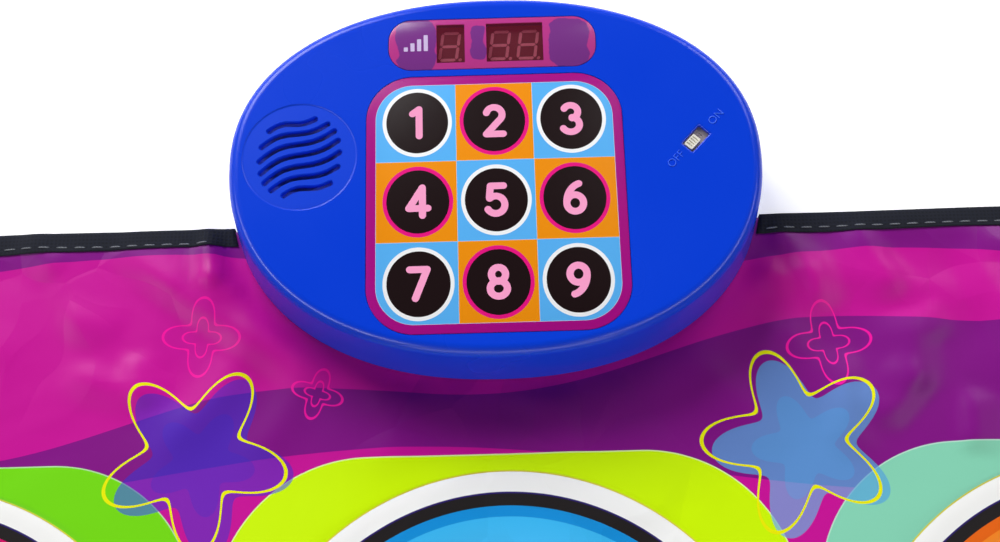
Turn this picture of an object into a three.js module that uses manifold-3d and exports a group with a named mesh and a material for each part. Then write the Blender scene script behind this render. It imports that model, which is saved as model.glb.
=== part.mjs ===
// Electronic dance mat: a laminated floor mat with nine step pads and a control console
// that clamps over the middle of the mat's back edge.
// Units are millimetres. +Z is up, +Y is the back, +X is the player's right.
// The origin is on the floor, under the middle of the whole object.
import * as THREE from 'three';
import { mergeVertices } from 'three/addons/utils/BufferGeometryUtils.js';
import Module from 'manifold-3d';

const wasm = await Module();
wasm.setup();

// Mat
const matSize = 900;
const matCornerRadius = 40;
const bottomSheetThickness = 1.2;
const filmThickness = 0.3;
const foamThickness = 1.8;
const topSheetThickness = 0.8;
const layerInset = 1;
const bindingReach = 9;
const bindingThickness = 0.6;
const bindingWall = 0.8;
const notchClearance = 1;
const fitGap = 0.3;

// Step pads
const padSideMargin = 92;
const padBackMargin = 110;
const padSpacing = 22;
const contactRim = 12;
const padHoleClearance = 1.6;

// Console body
const consoleOverhang = 98;
const consoleHalfWidth = 116.5;
const consoleBackReach = 80;
const consoleFrontReach = 89;
const consoleHeight = 36;
const consoleEdgeRadius = 5;
const wallDraft = 3;
const wallThickness = 2.2;
const baseLift = 1.2;
const outlineExponent = 2.2;

// Number panel and its lights
const panelSideMargin = 61.9;
const panelFrontMargin = 12.5;
const panelBorderX = 5.25;
const panelBorderY = 3.35;
const panelCornerRadius = 20;
const panelThickness = 0.6;
const lightHoleMarginX = 4.45;
const lightHoleMarginY = 5.15;
const baffleMargin = 2;
const ledRadius = 2.5;
const ledFlangeRadius = 2.9;
const ledFlangeHeight = 1;
const ledHeight = 7.4;

// Display
const windowBehindPanel = 3.5;
const windowBackMargin = 14;
const windowSideInset = 9.6;
const windowHalfDepth = 12;
const windowCornerRadius = 10;
const windowThickness = 0.8;
const windowLedge = 3.2;
const displayHeight = 7.8;
const displayDepth = 18.4;
const singleWidth = 12.3;
const doubleWidth = 24.7;
const singleOffset = -18.1;
const doubleOffset = 9.8;
const displayOffsetY = 0.3;

// Speaker
const speakerSideMargin = 33.5;
const speakerBehindWidest = 3;
const speakerRecessRadius = 24.5;
const speakerRecessDepth = 0.8;
const speakerRadius = 20;
const speakerRingWall = 1.6;
const speakerRingHeight = 5;
const speakerHeight = 9.8;
const coneRimThickness = 0.6;
const magnetRadius = 14;
const magnetHeight = 7;
const slotHalfLength = 18.8;
const slotSpacing = 5.06;
const slotWidth = 2.1;
const slotWave = 1.6;
const slotArch = 0.9;

// Power switch
const switchSideMargin = 31;
const switchBehindWidest = 6.5;
const switchSlotLength = 11.5;
const switchSlotWidth = 6;
const knobLength = 5.9;
const knobWidth = 3.9;
const knobHeight = 2.9;
const knobTravel = 4.6;
const stemLength = 2;
const stemWidth = 1.6;
const stemDepth = 2;
const housingLength = 19;
const housingWidth = 8.6;
const housingHeight = 7;

// Circuit board
const boardSideInset = 0.6;
const boardFrontMargin = 17;
const boardBackMargin = 15;
const boardThickness = 1.6;
const boardDrop = 8.6;
const postRadius = 1.6;
const postShoulderRadius = 2.8;
const postInset = 3.5;
const postFromPanelEnd = 17.5;
const postTail = 1.2;
const chipSize = 12;
const chipHeight = 1.8;
const chipInset = 32;
const chipAheadOfPanel = 25;

// Ribbon between the contact films and the board
const tailInset = 13;
const tailWidth = 14;
const tailBehindMat = 5;
const tailBend = 3;
const connectorLength = 18;
const connectorWidth = 5;
const connectorHeight = 3;
const connectorGrip = 1.6;

// Screws and feet
const bossRadius = 4;
const screwShankRadius = 1.4;
const screwHeadRadius = 2.8;
const screwHeadHeight = 1;
const screwLength = 11;
const frontScrewSideMargin = 36.5;
const frontScrewMargin = 35;
const rearScrewSideMargin = 54.5;
const rearScrewMargin = 24;
const footRadius = 6;
const footHeight = 2;
const frontFootSideMargin = 58.5;
const frontFootMargin = 22;
const rearFootSideMargin = 71.5;
const rearFootMargin = 16;

// Batteries and their door
const cellRadius = 7.2;
const cellLength = 49.5;
const cellNubRadius = 2.7;
const cellNubLength = 1;
const cellSpacing = 0.6;
const cellSideRoom = 0.6;
const cellEndRoom = 3.25;
const cellHeadroom = 0.5;
const boxBehindMat = 12.2;
const boxWall = 1.6;
const cellLift = 0.3;
const doorThickness = 1.6;
const doorSideLedge = 3;
const doorFrontLedge = 10.7;
const doorScrewInset = 5;
const doorBossRadius = 3.5;
const doorBossHeight = 6;
const doorHoleRadius = 2.3;
const doorScrewHeadRadius = 2.2;
const doorScrewHeadHeight = 0.9;
const doorScrewShankRadius = 1.1;
const doorScrewLength = 6.4;
const hingeGap = 2.3;
const hookWidth = 8;
const hookSpacing = 16;
const hookWall = 1.6;
const hookReach = 1.8;
const hookThickness = 1.2;
const contactThickness = 0.5;
const contactHeight = 9;
const contactWidth = 10;
const contactBump = 1;
const springRadius = 4.2;
const springTipRadius = 2;
const springWire = 0.35;

// Wires
const wireRadius = 0.8;

// Facets
const outlineSteps = 60;
const roundSteps = 3;
const padSteps = 36;
const holeSteps = 24;
const smallSteps = 12;
const tinySteps = 10;
const cornerSteps = 5;
const slotSteps = 6;
const springTurns = 3;
const springSteps = 24;
const wireSteps = 8;

// Levels and places that follow from the dimensions
const fullDepth = matSize + consoleOverhang;
const matBackY = matSize - fullDepth / 2;
const matCentreY = matBackY - matSize / 2;
const filmZ = bottomSheetThickness;
const foamZ = filmZ + filmThickness;
const upperFilmZ = foamZ + foamThickness;
const topSheetZ = upperFilmZ + filmThickness;
const matTopZ = topSheetZ + topSheetThickness;
const padPitch = (matSize - 2 * padSideMargin + padSpacing) / 3;
const padRadius = (padPitch - padSpacing) / 2;
const contactDiscRadius = padRadius - contactRim;
const widestY = fullDepth / 2 - consoleBackReach;
const consoleBackY = widestY + consoleBackReach;
const consoleNoseY = widestY - consoleFrontReach;
const consoleDepth = consoleBackReach + consoleFrontReach;
const panelHalfWidth = consoleHalfWidth - panelSideMargin;
const panelHalfDepth = (consoleDepth - panelFrontMargin - windowBehindPanel
  - 2 * windowHalfDepth - windowBackMargin) / 2;
const panelY = consoleNoseY + panelFrontMargin + panelHalfDepth;
const numberPitchX = (panelHalfWidth - panelBorderX) * 2 / 3;
const numberPitchY = (panelHalfDepth - panelBorderY) * 2 / 3;
const lightHoleRadiusX = numberPitchX / 2 - lightHoleMarginX;
const lightHoleRadiusY = numberPitchY / 2 - lightHoleMarginY;
const windowHalfWidth = panelHalfWidth - windowSideInset;
const displayY = consoleBackY - windowBackMargin - windowHalfDepth;
const speakerX = speakerSideMargin - consoleHalfWidth;
const speakerY = widestY + speakerBehindWidest;
const switchX = consoleHalfWidth - switchSideMargin;
const switchY = widestY + switchBehindWidest;
const boardHalfWidth = panelHalfWidth - boardSideInset;
const boardHalfDepth = (consoleDepth - boardFrontMargin - boardBackMargin) / 2;
const boardY = consoleNoseY + boardFrontMargin + boardHalfDepth;
const postX = boardHalfWidth - postInset;
const postHalfSpacing = panelHalfDepth - postFromPanelEnd;
const chipX = chipInset - boardHalfWidth;
const tailX = boardHalfWidth - tailInset;
const tailRiseY = matBackY + tailBehindMat;
const cellPitch = 2 * cellRadius + cellSpacing;
const boxHalfLength = cellLength / 2 + cellEndRoom;
const boxHalfDepth = cellPitch + cellRadius + cellSideRoom;
const boxHeight = cellLift + 2 * cellRadius + cellHeadroom + boxWall;
const cellY = matBackY + boxBehindMat + boxHalfDepth;
const ceilingZ = consoleHeight - wallThickness;
const boardTopZ = ceilingZ - boardDrop;
const boardZ = boardTopZ - boardThickness;
const frontRimZ = matTopZ + fitGap;
const switchAngle = 46 * Math.PI / 180;

// Materials
const paint = (color, roughness, metalness = 0) =>
  new THREE.MeshStandardMaterial({ color, roughness, metalness });
const vinylMaterial = paint(0xc8109b, 0.32);
const padMaterial = paint(0x0a9ee6, 0.3);
const bindingMaterial = paint(0x171b29, 0.85);
const backingMaterial = paint(0x2a2a2e, 0.8);
const filmMaterial = paint(0xd8dadd, 0.35);
const foamMaterial = paint(0x3a3a3e, 0.95);
const shellMaterial = paint(0x103fd6, 0.34);
const panelMaterial = paint(0xa80f8c, 0.28);
const windowMaterial = paint(0xb9388a, 0.12);
const displayMaterial = paint(0x5a1e28, 0.35);
const baffleMaterial = paint(0xe9e9e4, 0.6);
const boardMaterial = paint(0xb98a4a, 0.55);
const ledMaterial = paint(0xf2f3f5, 0.15);
const chipMaterial = paint(0x15161a, 0.5);
const connectorMaterial = paint(0xe6e2d4, 0.5);
const speakerMaterial = paint(0x6f7479, 0.35, 0.9);
const coneMaterial = paint(0x1c1b1d, 0.85);
const magnetMaterial = paint(0x3b3d40, 0.45, 0.6);
const switchMaterial = paint(0x8f9296, 0.35, 0.85);
const knobMaterial = paint(0xe7e3d6, 0.45);
const cellMaterial = paint(0x2f3338, 0.3, 0.3);
const contactMaterial = paint(0xc3c6c9, 0.25, 1);
const screwMaterial = paint(0x9ea2a6, 0.3, 1);
const footMaterial = paint(0x1d1d1f, 0.9);
const wireMaterial = paint(0xb3261f, 0.5);

const mat = new THREE.Group();
const controls = new THREE.Group();
const danceMat = new THREE.Group();
danceMat.add(mat, controls);

// A closed geometry as a solid that can be joined and cut.
function solid(geometry) {
  const bare = geometry.index ? geometry.toNonIndexed() : geometry.clone();
  bare.deleteAttribute('normal');
  bare.deleteAttribute('uv');
  const merged = mergeVertices(bare, 1e-4);
  return new wasm.Manifold(new wasm.Mesh({
    numProp: 3,
    vertProperties: new Float32Array(merged.attributes.position.array),
    triVerts: new Uint32Array(merged.index.array),
  }));
}

// A joined or cut solid as a geometry again.
function geometryOf(body) {
  const mesh = body.getMesh();
  const geometry = new THREE.BufferGeometry();
  geometry.setAttribute('position', new THREE.BufferAttribute(mesh.vertProperties, 3));
  geometry.setIndex(new THREE.BufferAttribute(mesh.triVerts, 1));
  geometry.computeVertexNormals();
  return geometry;
}

function place(group, name, body, material) {
  const mesh = new THREE.Mesh(geometryOf(body), material);
  mesh.name = name;
  group.add(mesh);
  return mesh;
}

// A flat shape raised from one level to another.
function prism(shape, low, high, curveSegments = cornerSteps) {
  const geometry = new THREE.ExtrudeGeometry(shape, {
    depth: high - low,
    bevelEnabled: false,
    curveSegments,
  });
  return solid(geometry.translate(0, 0, low));
}

// A regular polygon's corners round an ellipse.
function ring(radiusX, radiusY, x, y, steps) {
  const points = [];
  for (let step = 0; step < steps; step += 1) {
    const angle = 2 * Math.PI * step / steps;
    points.push(new THREE.Vector2(x + radiusX * Math.cos(angle), y + radiusY * Math.sin(angle)));
  }
  return new THREE.Shape(points);
}

function disc(radius, x, y, low, high, steps = smallSteps) {
  return prism(ring(radius, radius, x, y, steps), low, high);
}

function roundedRectangle(halfWidth, halfDepth, radius, x = 0, y = 0) {
  const shape = new THREE.Shape();
  const innerX = halfWidth - radius;
  const innerY = halfDepth - radius;
  const quarter = Math.PI / 2;
  shape.moveTo(x + halfWidth, y - innerY);
  shape.lineTo(x + halfWidth, y + innerY);
  shape.absarc(x + innerX, y + innerY, radius, 0, quarter);
  shape.absarc(x - innerX, y + innerY, radius, quarter, 2 * quarter);
  shape.absarc(x - innerX, y - innerY, radius, 2 * quarter, 3 * quarter);
  shape.absarc(x + innerX, y - innerY, radius, 3 * quarter, 4 * quarter);
  return shape;
}

function box(width, depth, height, x, y, low) {
  const geometry = new THREE.BoxGeometry(width, depth, height);
  return solid(geometry.translate(x, y, low + height / 2));
}

// A profile of [radius, height] pairs turned about an upright axis.
function turned(profile, x, y, low, steps = smallSteps) {
  const points = profile.map(([radius, height]) => new THREE.Vector2(radius, height));
  const geometry = new THREE.LatheGeometry(points, steps);
  return solid(geometry.rotateX(Math.PI / 2).translate(x, y, low));
}

// The console's plan: half of one superellipse in front of its widest line, half of
// another behind it, drawn in by a margin.
function consoleOutline(inset) {
  const points = [];
  for (let step = 0; step < outlineSteps; step += 1) {
    const angle = 2 * Math.PI * step / outlineSteps;
    const reach = Math.sin(angle) > 0 ? consoleBackReach : consoleFrontReach;
    const across = Math.abs(Math.cos(angle)) ** (2 / outlineExponent);
    const along = Math.abs(Math.sin(angle)) ** (2 / outlineExponent);
    points.push(new THREE.Vector2(
      Math.sign(Math.cos(angle)) * (consoleHalfWidth - inset) * across,
      widestY + Math.sign(Math.sin(angle)) * (reach - inset) * along,
    ));
  }
  return points;
}

// The front edge of the console's plan at one place across it.
function consoleFrontY(x, inset) {
  const across = Math.abs(x) / (consoleHalfWidth - inset);
  const along = (1 - across ** outlineExponent) ** (1 / outlineExponent);
  return widestY - (consoleFrontReach - inset) * along;
}

// Stacked outlines of [inset, height], closed by a flat cap at each end.
function loft(levels) {
  const positions = [];
  const index = [];
  for (const [inset, height] of levels) {
    for (const point of consoleOutline(inset)) {
      positions.push(point.x, point.y, height);
    }
  }
  const lowCentre = positions.length / 3;
  positions.push(0, widestY, levels[0][1]);
  const highCentre = lowCentre + 1;
  positions.push(0, widestY, levels[levels.length - 1][1]);
  const lastRing = (levels.length - 1) * outlineSteps;
  for (let step = 0; step < outlineSteps; step += 1) {
    const next = (step + 1) % outlineSteps;
    for (let level = 0; level < levels.length - 1; level += 1) {
      const low = level * outlineSteps;
      const high = low + outlineSteps;
      index.push(low + step, low + next, high + next);
      index.push(low + step, high + next, high + step);
    }
    index.push(lowCentre, next, step);
    index.push(highCentre, lastRing + step, lastRing + next);
  }
  const geometry = new THREE.BufferGeometry();
  geometry.setAttribute('position', new THREE.Float32BufferAttribute(positions, 3));
  geometry.setIndex(index);
  return solid(geometry);
}

// A drafted wall that turns into a flat top through a quarter round.
function domedLevels(inset, radius, bottom) {
  const shoulder = consoleHeight - consoleEdgeRadius;
  const levels = [[inset, bottom]];
  for (let step = 0; step <= roundSteps; step += 1) {
    const angle = Math.PI / 2 * step / roundSteps;
    levels.push([
      inset + wallDraft + radius * (1 - Math.cos(angle)),
      shoulder + radius * Math.sin(angle),
    ]);
  }
  return levels;
}

const join = (first, ...others) => others.reduce((sum, body) => sum.add(body), first);
const cut = (first, ...others) => others.reduce((rest, body) => rest.subtract(body), first);

// Mat layers: a non-slip bottom sheet, two contact films with a foam spacer between them
// and a printed top sheet. All but the top sheet stop round the console's foot.
const halfMat = matSize / 2;
const halfSheet = halfMat - bindingWall;
const sheetShape = (inset) => roundedRectangle(
  halfSheet - inset, halfSheet - inset, matCornerRadius - inset, 0, matCentreY);
const notch = prism(new THREE.Shape(consoleOutline(-notchClearance)), -matTopZ, 2 * matTopZ);

const padPlaces = [];
for (let row = 0; row < 3; row += 1) {
  for (let column = -1; column <= 1; column += 1) {
    padPlaces.push([column * padPitch, matBackY - padBackMargin - padRadius - row * padPitch]);
  }
}
const padHoles = (radius, low, high, steps) =>
  padPlaces.map(([x, y]) => disc(radius, x, y, low, high, steps));

// Two places in front and two behind, mirrored left to right.
const fourPlaces = (frontSideMargin, frontMargin, rearSideMargin, rearMargin) => [
  [frontSideMargin - consoleHalfWidth, consoleNoseY + frontMargin],
  [consoleHalfWidth - frontSideMargin, consoleNoseY + frontMargin],
  [rearSideMargin - consoleHalfWidth, consoleBackY - rearMargin],
  [consoleHalfWidth - rearSideMargin, consoleBackY - rearMargin],
];
const screwPlaces = fourPlaces(
  frontScrewSideMargin, frontScrewMargin, rearScrewSideMargin, rearScrewMargin);

const bottomUpper = prism(sheetShape(0), bindingThickness, bottomSheetThickness);
const bottomLower = prism(sheetShape(bindingReach + fitGap), 0, bindingThickness);
place(mat, 'bottom_sheet', cut(join(bottomUpper, bottomLower), notch), backingMaterial);

const layer = (low, high) => cut(prism(sheetShape(layerInset), low, high), notch);
const wideHoles = padHoles(
  padRadius + padHoleClearance, foamZ - fitGap, topSheetZ + fitGap, holeSteps);
place(mat, 'lower_contact_film', layer(filmZ, foamZ), filmMaterial);
place(mat, 'foam_spacer', cut(layer(foamZ, upperFilmZ), ...wideHoles), foamMaterial);
place(mat, 'upper_contact_film', cut(layer(upperFilmZ, topSheetZ), ...wideHoles), filmMaterial);

const bossHoles = screwPlaces.slice(0, 2).map(
  ([x, y]) => disc(bossRadius + fitGap, x, y, 0, 2 * matTopZ));
place(mat, 'top_sheet', cut(
  prism(sheetShape(0), topSheetZ, matTopZ),
  ...padHoles(padRadius + fitGap, topSheetZ - fitGap, matTopZ + fitGap, padSteps),
  ...bossHoles,
), vinylMaterial);

// Binding: a folded strip round the mat's edge, open where the console stands.
const bindingTopZ = matTopZ + bindingThickness;
const bindingOuter = prism(
  roundedRectangle(halfMat, halfMat, matCornerRadius + bindingWall, 0, matCentreY),
  0, bindingTopZ);
const bindingInner = prism(sheetShape(bindingReach), -fitGap, bindingTopZ + fitGap);
const bindingSlot = prism(sheetShape(0), bindingThickness, matTopZ);
const bindingStop = prism(
  new THREE.Shape(consoleOutline(-notchClearance)), -fitGap, bindingTopZ + fitGap);
place(mat, 'edge_binding',
  cut(bindingOuter, bindingInner, bindingSlot, bindingStop), bindingMaterial);

// Step pads: a printed vinyl disc with a smaller contact disc laminated under it.
padPlaces.forEach(([x, y], index) => {
  const profile = [
    [0, upperFilmZ],
    [contactDiscRadius, upperFilmZ],
    [contactDiscRadius, topSheetZ],
    [padRadius, topSheetZ],
    [padRadius, matTopZ],
    [0, matTopZ],
  ];
  const points = profile.map(([radius, height]) => new THREE.Vector2(radius, height));
  const geometry = new THREE.LatheGeometry(points, padSteps).rotateX(Math.PI / 2);
  const pad = solid(geometry.rotateZ(Math.PI / 2));
  const mesh = place(mat, `step_pad_${index + 1}`, pad, padMaterial);
  mesh.position.set(x, y, 0);
});

// Top shell: a drafted wall with a rounded top edge. In front its rim stands on the mat's
// top sheet, and behind it reaches down beside the base plate.
const outer = loft(domedLevels(0, consoleEdgeRadius, baseLift));
const hollow = loft(domedLevels(
  wallThickness, consoleEdgeRadius - wallThickness, baseLift - wallThickness));
const aboveMat = box(
  3 * consoleHalfWidth, fullDepth, 2 * frontRimZ,
  0, matBackY + fitGap - fullDepth / 2, -frontRimZ);

const numberPlaces = [];
for (let row = 1; row >= -1; row -= 1) {
  for (let column = -1; column <= 1; column += 1) {
    numberPlaces.push([column * numberPitchX, panelY + row * numberPitchY]);
  }
}
const lightHoles = numberPlaces.map(([x, y]) => prism(
  ring(lightHoleRadiusX, lightHoleRadiusY, x, y, 2 * tinySteps),
  boardTopZ - fitGap, consoleHeight + fitGap));

const panelRecess = prism(
  roundedRectangle(panelHalfWidth + fitGap, panelHalfDepth + fitGap,
    panelCornerRadius + fitGap, 0, panelY),
  consoleHeight - panelThickness, consoleHeight + fitGap);
const windowRecess = prism(
  roundedRectangle(windowHalfWidth + fitGap, windowHalfDepth + fitGap,
    windowCornerRadius + fitGap, 0, displayY),
  consoleHeight - windowThickness, consoleHeight + fitGap);
const windowOpening = prism(
  roundedRectangle(windowHalfWidth - windowLedge, windowHalfDepth - windowLedge / 2,
    windowCornerRadius - windowLedge / 2, 0, displayY),
  boardTopZ, consoleHeight + fitGap);
const speakerRecess = disc(
  speakerRecessRadius, speakerX, speakerY,
  consoleHeight - speakerRecessDepth, consoleHeight + fitGap, 3 * tinySteps);

// Sound slots: seven S-curves whose lengths follow a circle and whose tilt eases off
// towards the outermost ones.
const slotTilt = 23.8 * Math.PI / 180;
const slotTiltEase = 1.02 * Math.PI / 180;
const slotRowLean = 12.9 * Math.PI / 180;
function waveSlot(x, y, halfLength, angle) {
  const left = [];
  const right = [];
  for (let step = 0; step <= slotSteps; step += 1) {
    const share = step / slotSteps;
    const along = (2 * share - 1) * halfLength;
    const size = halfLength / slotHalfLength;
    const wave = size * (slotWave * Math.sin(2 * Math.PI * share)
      + slotArch * Math.sin(Math.PI * share));
    const slope = (slotWave * Math.cos(2 * Math.PI * share)
      + slotArch * Math.cos(Math.PI * share) / 2) * Math.PI / slotHalfLength;
    const halfWidth = slotWidth / 2 * Math.sqrt(1 - Math.abs(2 * share - 1) ** slotSteps / 2);
    const normal = new THREE.Vector2(-slope, 1).normalize().multiplyScalar(halfWidth);
    left.push(new THREE.Vector2(along + normal.x, wave + normal.y));
    right.push(new THREE.Vector2(along - normal.x, wave - normal.y));
  }
  const points = [...right, ...left.reverse()].map((point) =>
    point.rotateAround(new THREE.Vector2(0, 0), angle).add(new THREE.Vector2(x, y)));
  return prism(new THREE.Shape(points), boardTopZ, consoleHeight + fitGap);
}
const soundSlots = [];
for (let slot = -3; slot <= 3; slot += 1) {
  const drop = slot * slotSpacing;
  soundSlots.push(waveSlot(
    speakerX + drop * Math.sin(slotRowLean),
    speakerY - drop * Math.cos(slotRowLean),
    Math.sqrt(slotHalfLength ** 2 - drop ** 2),
    slotTilt - slotTiltEase * slot ** 2,
  ));
}

const turnedSwitch = (body) =>
  body.rotate([0, 0, switchAngle * 180 / Math.PI]).translate([switchX, switchY, 0]);
const switchSlot = turnedSwitch(box(
  switchSlotLength, switchSlotWidth, 2 * wallThickness + fitGap,
  0, 0, consoleHeight - 2 * wallThickness));

const screwTopZ = topSheetZ + screwLength;
const bosses = screwPlaces.map(([x, y]) =>
  disc(bossRadius, x, y, topSheetZ, consoleHeight - wallThickness / 2));
const bossBores = screwPlaces.map(([x, y]) =>
  disc(screwShankRadius + fitGap, x, y, 0, screwTopZ + fitGap, tinySteps));
const postPlaces = [];
for (const side of [-1, 1]) {
  for (const end of [-1, 1]) {
    postPlaces.push([side * postX, panelY + end * postHalfSpacing]);
  }
}
const shoulders = postPlaces.map(([x, y]) =>
  disc(postShoulderRadius, x, y, boardTopZ, consoleHeight - wallThickness / 2, tinySteps));
const posts = postPlaces.map(([x, y]) =>
  disc(postRadius, x, y, boardZ - postTail, consoleHeight - wallThickness / 2, tinySteps));
const speakerRing = cut(
  disc(speakerRadius + fitGap + speakerRingWall, speakerX, speakerY,
    ceilingZ - speakerRingHeight, consoleHeight - wallThickness / 2, 2 * tinySteps),
  disc(speakerRadius + fitGap, speakerX, speakerY,
    ceilingZ - 2 * speakerRingHeight, ceilingZ, 2 * tinySteps));

place(controls, 'top_shell', cut(
  join(cut(outer, hollow, aboveMat), ...bosses, ...shoulders, ...posts, speakerRing),
  ...bossBores, panelRecess, ...lightHoles, windowRecess, windowOpening,
  speakerRecess, ...soundSlots, switchSlot,
), shellMaterial);

place(controls, 'number_panel', prism(
  roundedRectangle(panelHalfWidth, panelHalfDepth, panelCornerRadius, 0, panelY),
  consoleHeight - panelThickness, consoleHeight), panelMaterial);
place(controls, 'display_window', prism(
  roundedRectangle(windowHalfWidth, windowHalfDepth, windowCornerRadius, 0, displayY),
  consoleHeight - windowThickness, consoleHeight), windowMaterial);

// Base plate: it closes the console from below, carries the battery box and the feet,
// and clamps the mat's top sheet against the top shell's front rim.
const baseTopZ = topSheetZ;
const plate = prism(
  new THREE.Shape(consoleOutline(wallThickness + 3 * fitGap)), baseLift, baseTopZ);
const boxShell = box(
  2 * (boxHalfLength + boxWall), 2 * (boxHalfDepth + boxWall), boxHeight,
  0, cellY, baseTopZ - fitGap);
const boxHollow = box(
  2 * boxHalfLength, 2 * boxHalfDepth, boxHeight - boxWall + baseTopZ,
  0, cellY, -fitGap);
const doorBackY = cellY + boxHalfDepth;
const doorFrontY = cellY - boxHalfDepth - doorFrontLedge;
const recessHalfWidth = boxHalfLength + doorSideLedge + fitGap;
const recessDepth = doorBackY + hingeGap - doorFrontY + fitGap;
const doorRecess = box(
  2 * recessHalfWidth, recessDepth, doorThickness + baseLift,
  0, doorFrontY - fitGap + recessDepth / 2, 0);
const doorScrewY = doorFrontY + doorScrewInset;
const doorBoss = disc(
  doorBossRadius, 0, doorScrewY, baseTopZ - fitGap, baseTopZ + doorBossHeight);
const doorBossHole = disc(
  doorHoleRadius, 0, doorScrewY, 0, baseTopZ + 2 * doorBossHeight);
const headSeats = screwPlaces.map(([x, y]) => disc(
  screwHeadRadius + fitGap, x, y, 0, baseLift + screwHeadHeight + fitGap));
const footPlaces = fourPlaces(
  frontFootSideMargin, frontFootMargin, rearFootSideMargin, rearFootMargin);
const footSeats = footPlaces.map(([x, y]) => disc(footRadius + fitGap, x, y, 0, footHeight));
const tailChannel = box(
  tailWidth + 2 * fitGap, 2 * consoleFrontReach, baseTopZ - upperFilmZ + baseLift,
  tailX, tailRiseY + fitGap - consoleFrontReach, upperFilmZ);
const hookWindows = [-1, 1].map((side) => box(
  hookWidth + 3 * fitGap, 4 * boxWall, hookThickness + 2 * hookReach,
  side * hookSpacing, doorBackY, baseTopZ));
place(controls, 'base_shell', cut(
  join(plate, boxShell, doorBoss),
  boxHollow, ...hookWindows, doorRecess, doorBossHole,
  ...headSeats, ...bossBores, ...footSeats, tailChannel,
), shellMaterial);

footPlaces.forEach(([x, y], index) => {
  place(controls, `foot_${index + 1}`, disc(footRadius, x, y, 0, footHeight), footMaterial);
});

screwPlaces.forEach(([x, y], index) => {
  const headTop = baseLift + screwHeadHeight + fitGap;
  const screw = join(
    disc(screwHeadRadius, x, y, headTop - screwHeadHeight, headTop),
    disc(screwShankRadius, x, y, headTop - screwHeadHeight / 2, screwTopZ, tinySteps));
  place(controls, `case_screw_${index + 1}`, screw, screwMaterial);
});

// Battery door: a plate that hangs on two hooks at its back edge and is held by one
// captive screw at its front edge.
const doorTopZ = baseLift + doorThickness;
const doorDepth = doorBackY - fitGap - doorFrontY;
const doorPlate = box(
  2 * (boxHalfLength + doorSideLedge), doorDepth, doorThickness,
  0, doorFrontY + doorDepth / 2, baseLift);
const hooks = [];
for (const side of [-1, 1]) {
  const upright = box(
    hookWidth, hookWall, baseTopZ + fitGap + hookThickness - baseLift,
    side * hookSpacing, doorBackY - fitGap - hookWall / 2, baseLift);
  const finger = box(
    hookWidth, hookWall + hookReach, hookThickness,
    side * hookSpacing, doorBackY - fitGap - hookWall + (hookWall + hookReach) / 2,
    baseTopZ + fitGap);
  hooks.push(upright, finger);
}
const doorSeat = disc(
  doorScrewHeadRadius + fitGap, 0, doorScrewY, 0, baseLift + doorScrewHeadHeight);
const doorBore = disc(
  doorScrewShankRadius + fitGap, 0, doorScrewY, 0, 2 * doorTopZ, tinySteps);
place(controls, 'battery_door', cut(join(doorPlate, ...hooks), doorSeat, doorBore), shellMaterial);
place(controls, 'door_screw', join(
  disc(doorScrewHeadRadius, 0, doorScrewY, baseLift, baseLift + doorScrewHeadHeight),
  disc(doorScrewShankRadius, 0, doorScrewY, baseLift + doorScrewHeadHeight / 2,
    baseLift + doorScrewLength, tinySteps),
), screwMaterial);

// Cells: laid side by side, each turned end for end against its neighbour.
const cellZ = baseTopZ + cellLift + cellRadius;
const contactFace = boxHalfLength - contactThickness;
const nubEnd = contactFace - contactBump;
[-1, 1, -1].forEach((nubSide, index) => {
  const profile = [
    [0, 0],
    [cellRadius, 0],
    [cellRadius, cellLength],
    [cellNubRadius, cellLength],
    [cellNubRadius, cellLength + cellNubLength - fitGap],
    [0, cellLength + cellNubLength - fitGap],
  ];
  const cell = turned(profile, 0, 0, 0, 2 * tinySteps)
    .rotate([0, 90 * nubSide, 0])
    .translate([nubSide * (nubEnd - cellLength - cellNubLength),
      cellY + (index - 1) * cellPitch, cellZ]);
  place(controls, `battery_${index + 1}`, cell, cellMaterial);
});

// Contact springs wind inwards from a plate as a short cone.
class ConeSpring extends THREE.Curve {
  constructor(length) {
    super();
    this.length = length;
  }

  getPoint(share, target = new THREE.Vector3()) {
    const angle = 2 * Math.PI * springTurns * share;
    const radius = springRadius + (springTipRadius - springRadius) * share;
    return target.set(this.length * share, radius * Math.cos(angle), radius * Math.sin(angle));
  }
}
const springLength = 2 * contactFace - contactBump - cellLength - cellNubLength - springWire - fitGap;
function springAt(y, side) {
  const wire = new THREE.ExtrudeGeometry(ring(springWire, springWire, 0, 0, 5), {
    steps: springSteps,
    extrudePath: new ConeSpring(springLength),
  });
  const body = solid(wire);
  const flipped = side > 0 ? body.rotate([0, 0, 180]) : body;
  return flipped.translate([side * contactFace, y, cellZ]);
}
function contact(name, side, springY, bumpY) {
  const rows = [springY, bumpY].filter((y) => y !== null);
  const middle = rows.reduce((sum, y) => sum + y, 0) / rows.length;
  const span = Math.max(...rows) - Math.min(...rows);
  const strip = box(
    contactThickness, span + contactWidth, contactHeight,
    side * (contactFace + contactThickness / 2), middle, cellZ - contactHeight / 2);
  const features = [];
  if (springY !== null) {
    features.push(springAt(springY, side));
  }
  if (bumpY !== null) {
    const bump = turned(
      [[0, 0], [cellNubRadius, 0], [cellNubRadius / 2, contactBump + contactThickness / 2],
        [0, contactBump + contactThickness / 2]],
      0, 0, 0, tinySteps);
    features.push(bump.rotate([0, -90 * side, 0]).translate(
      [side * (contactFace + contactThickness / 2), bumpY, cellZ]));
  }
  place(controls, name, join(strip, ...features), contactMaterial);
}
contact('battery_plate_end', -1, null, cellY - cellPitch);
contact('battery_bridge_1', 1, cellY - cellPitch, cellY);
contact('battery_bridge_2', -1, cellY, cellY + cellPitch);
contact('battery_spring_end', 1, cellY + cellPitch, null);

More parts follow.
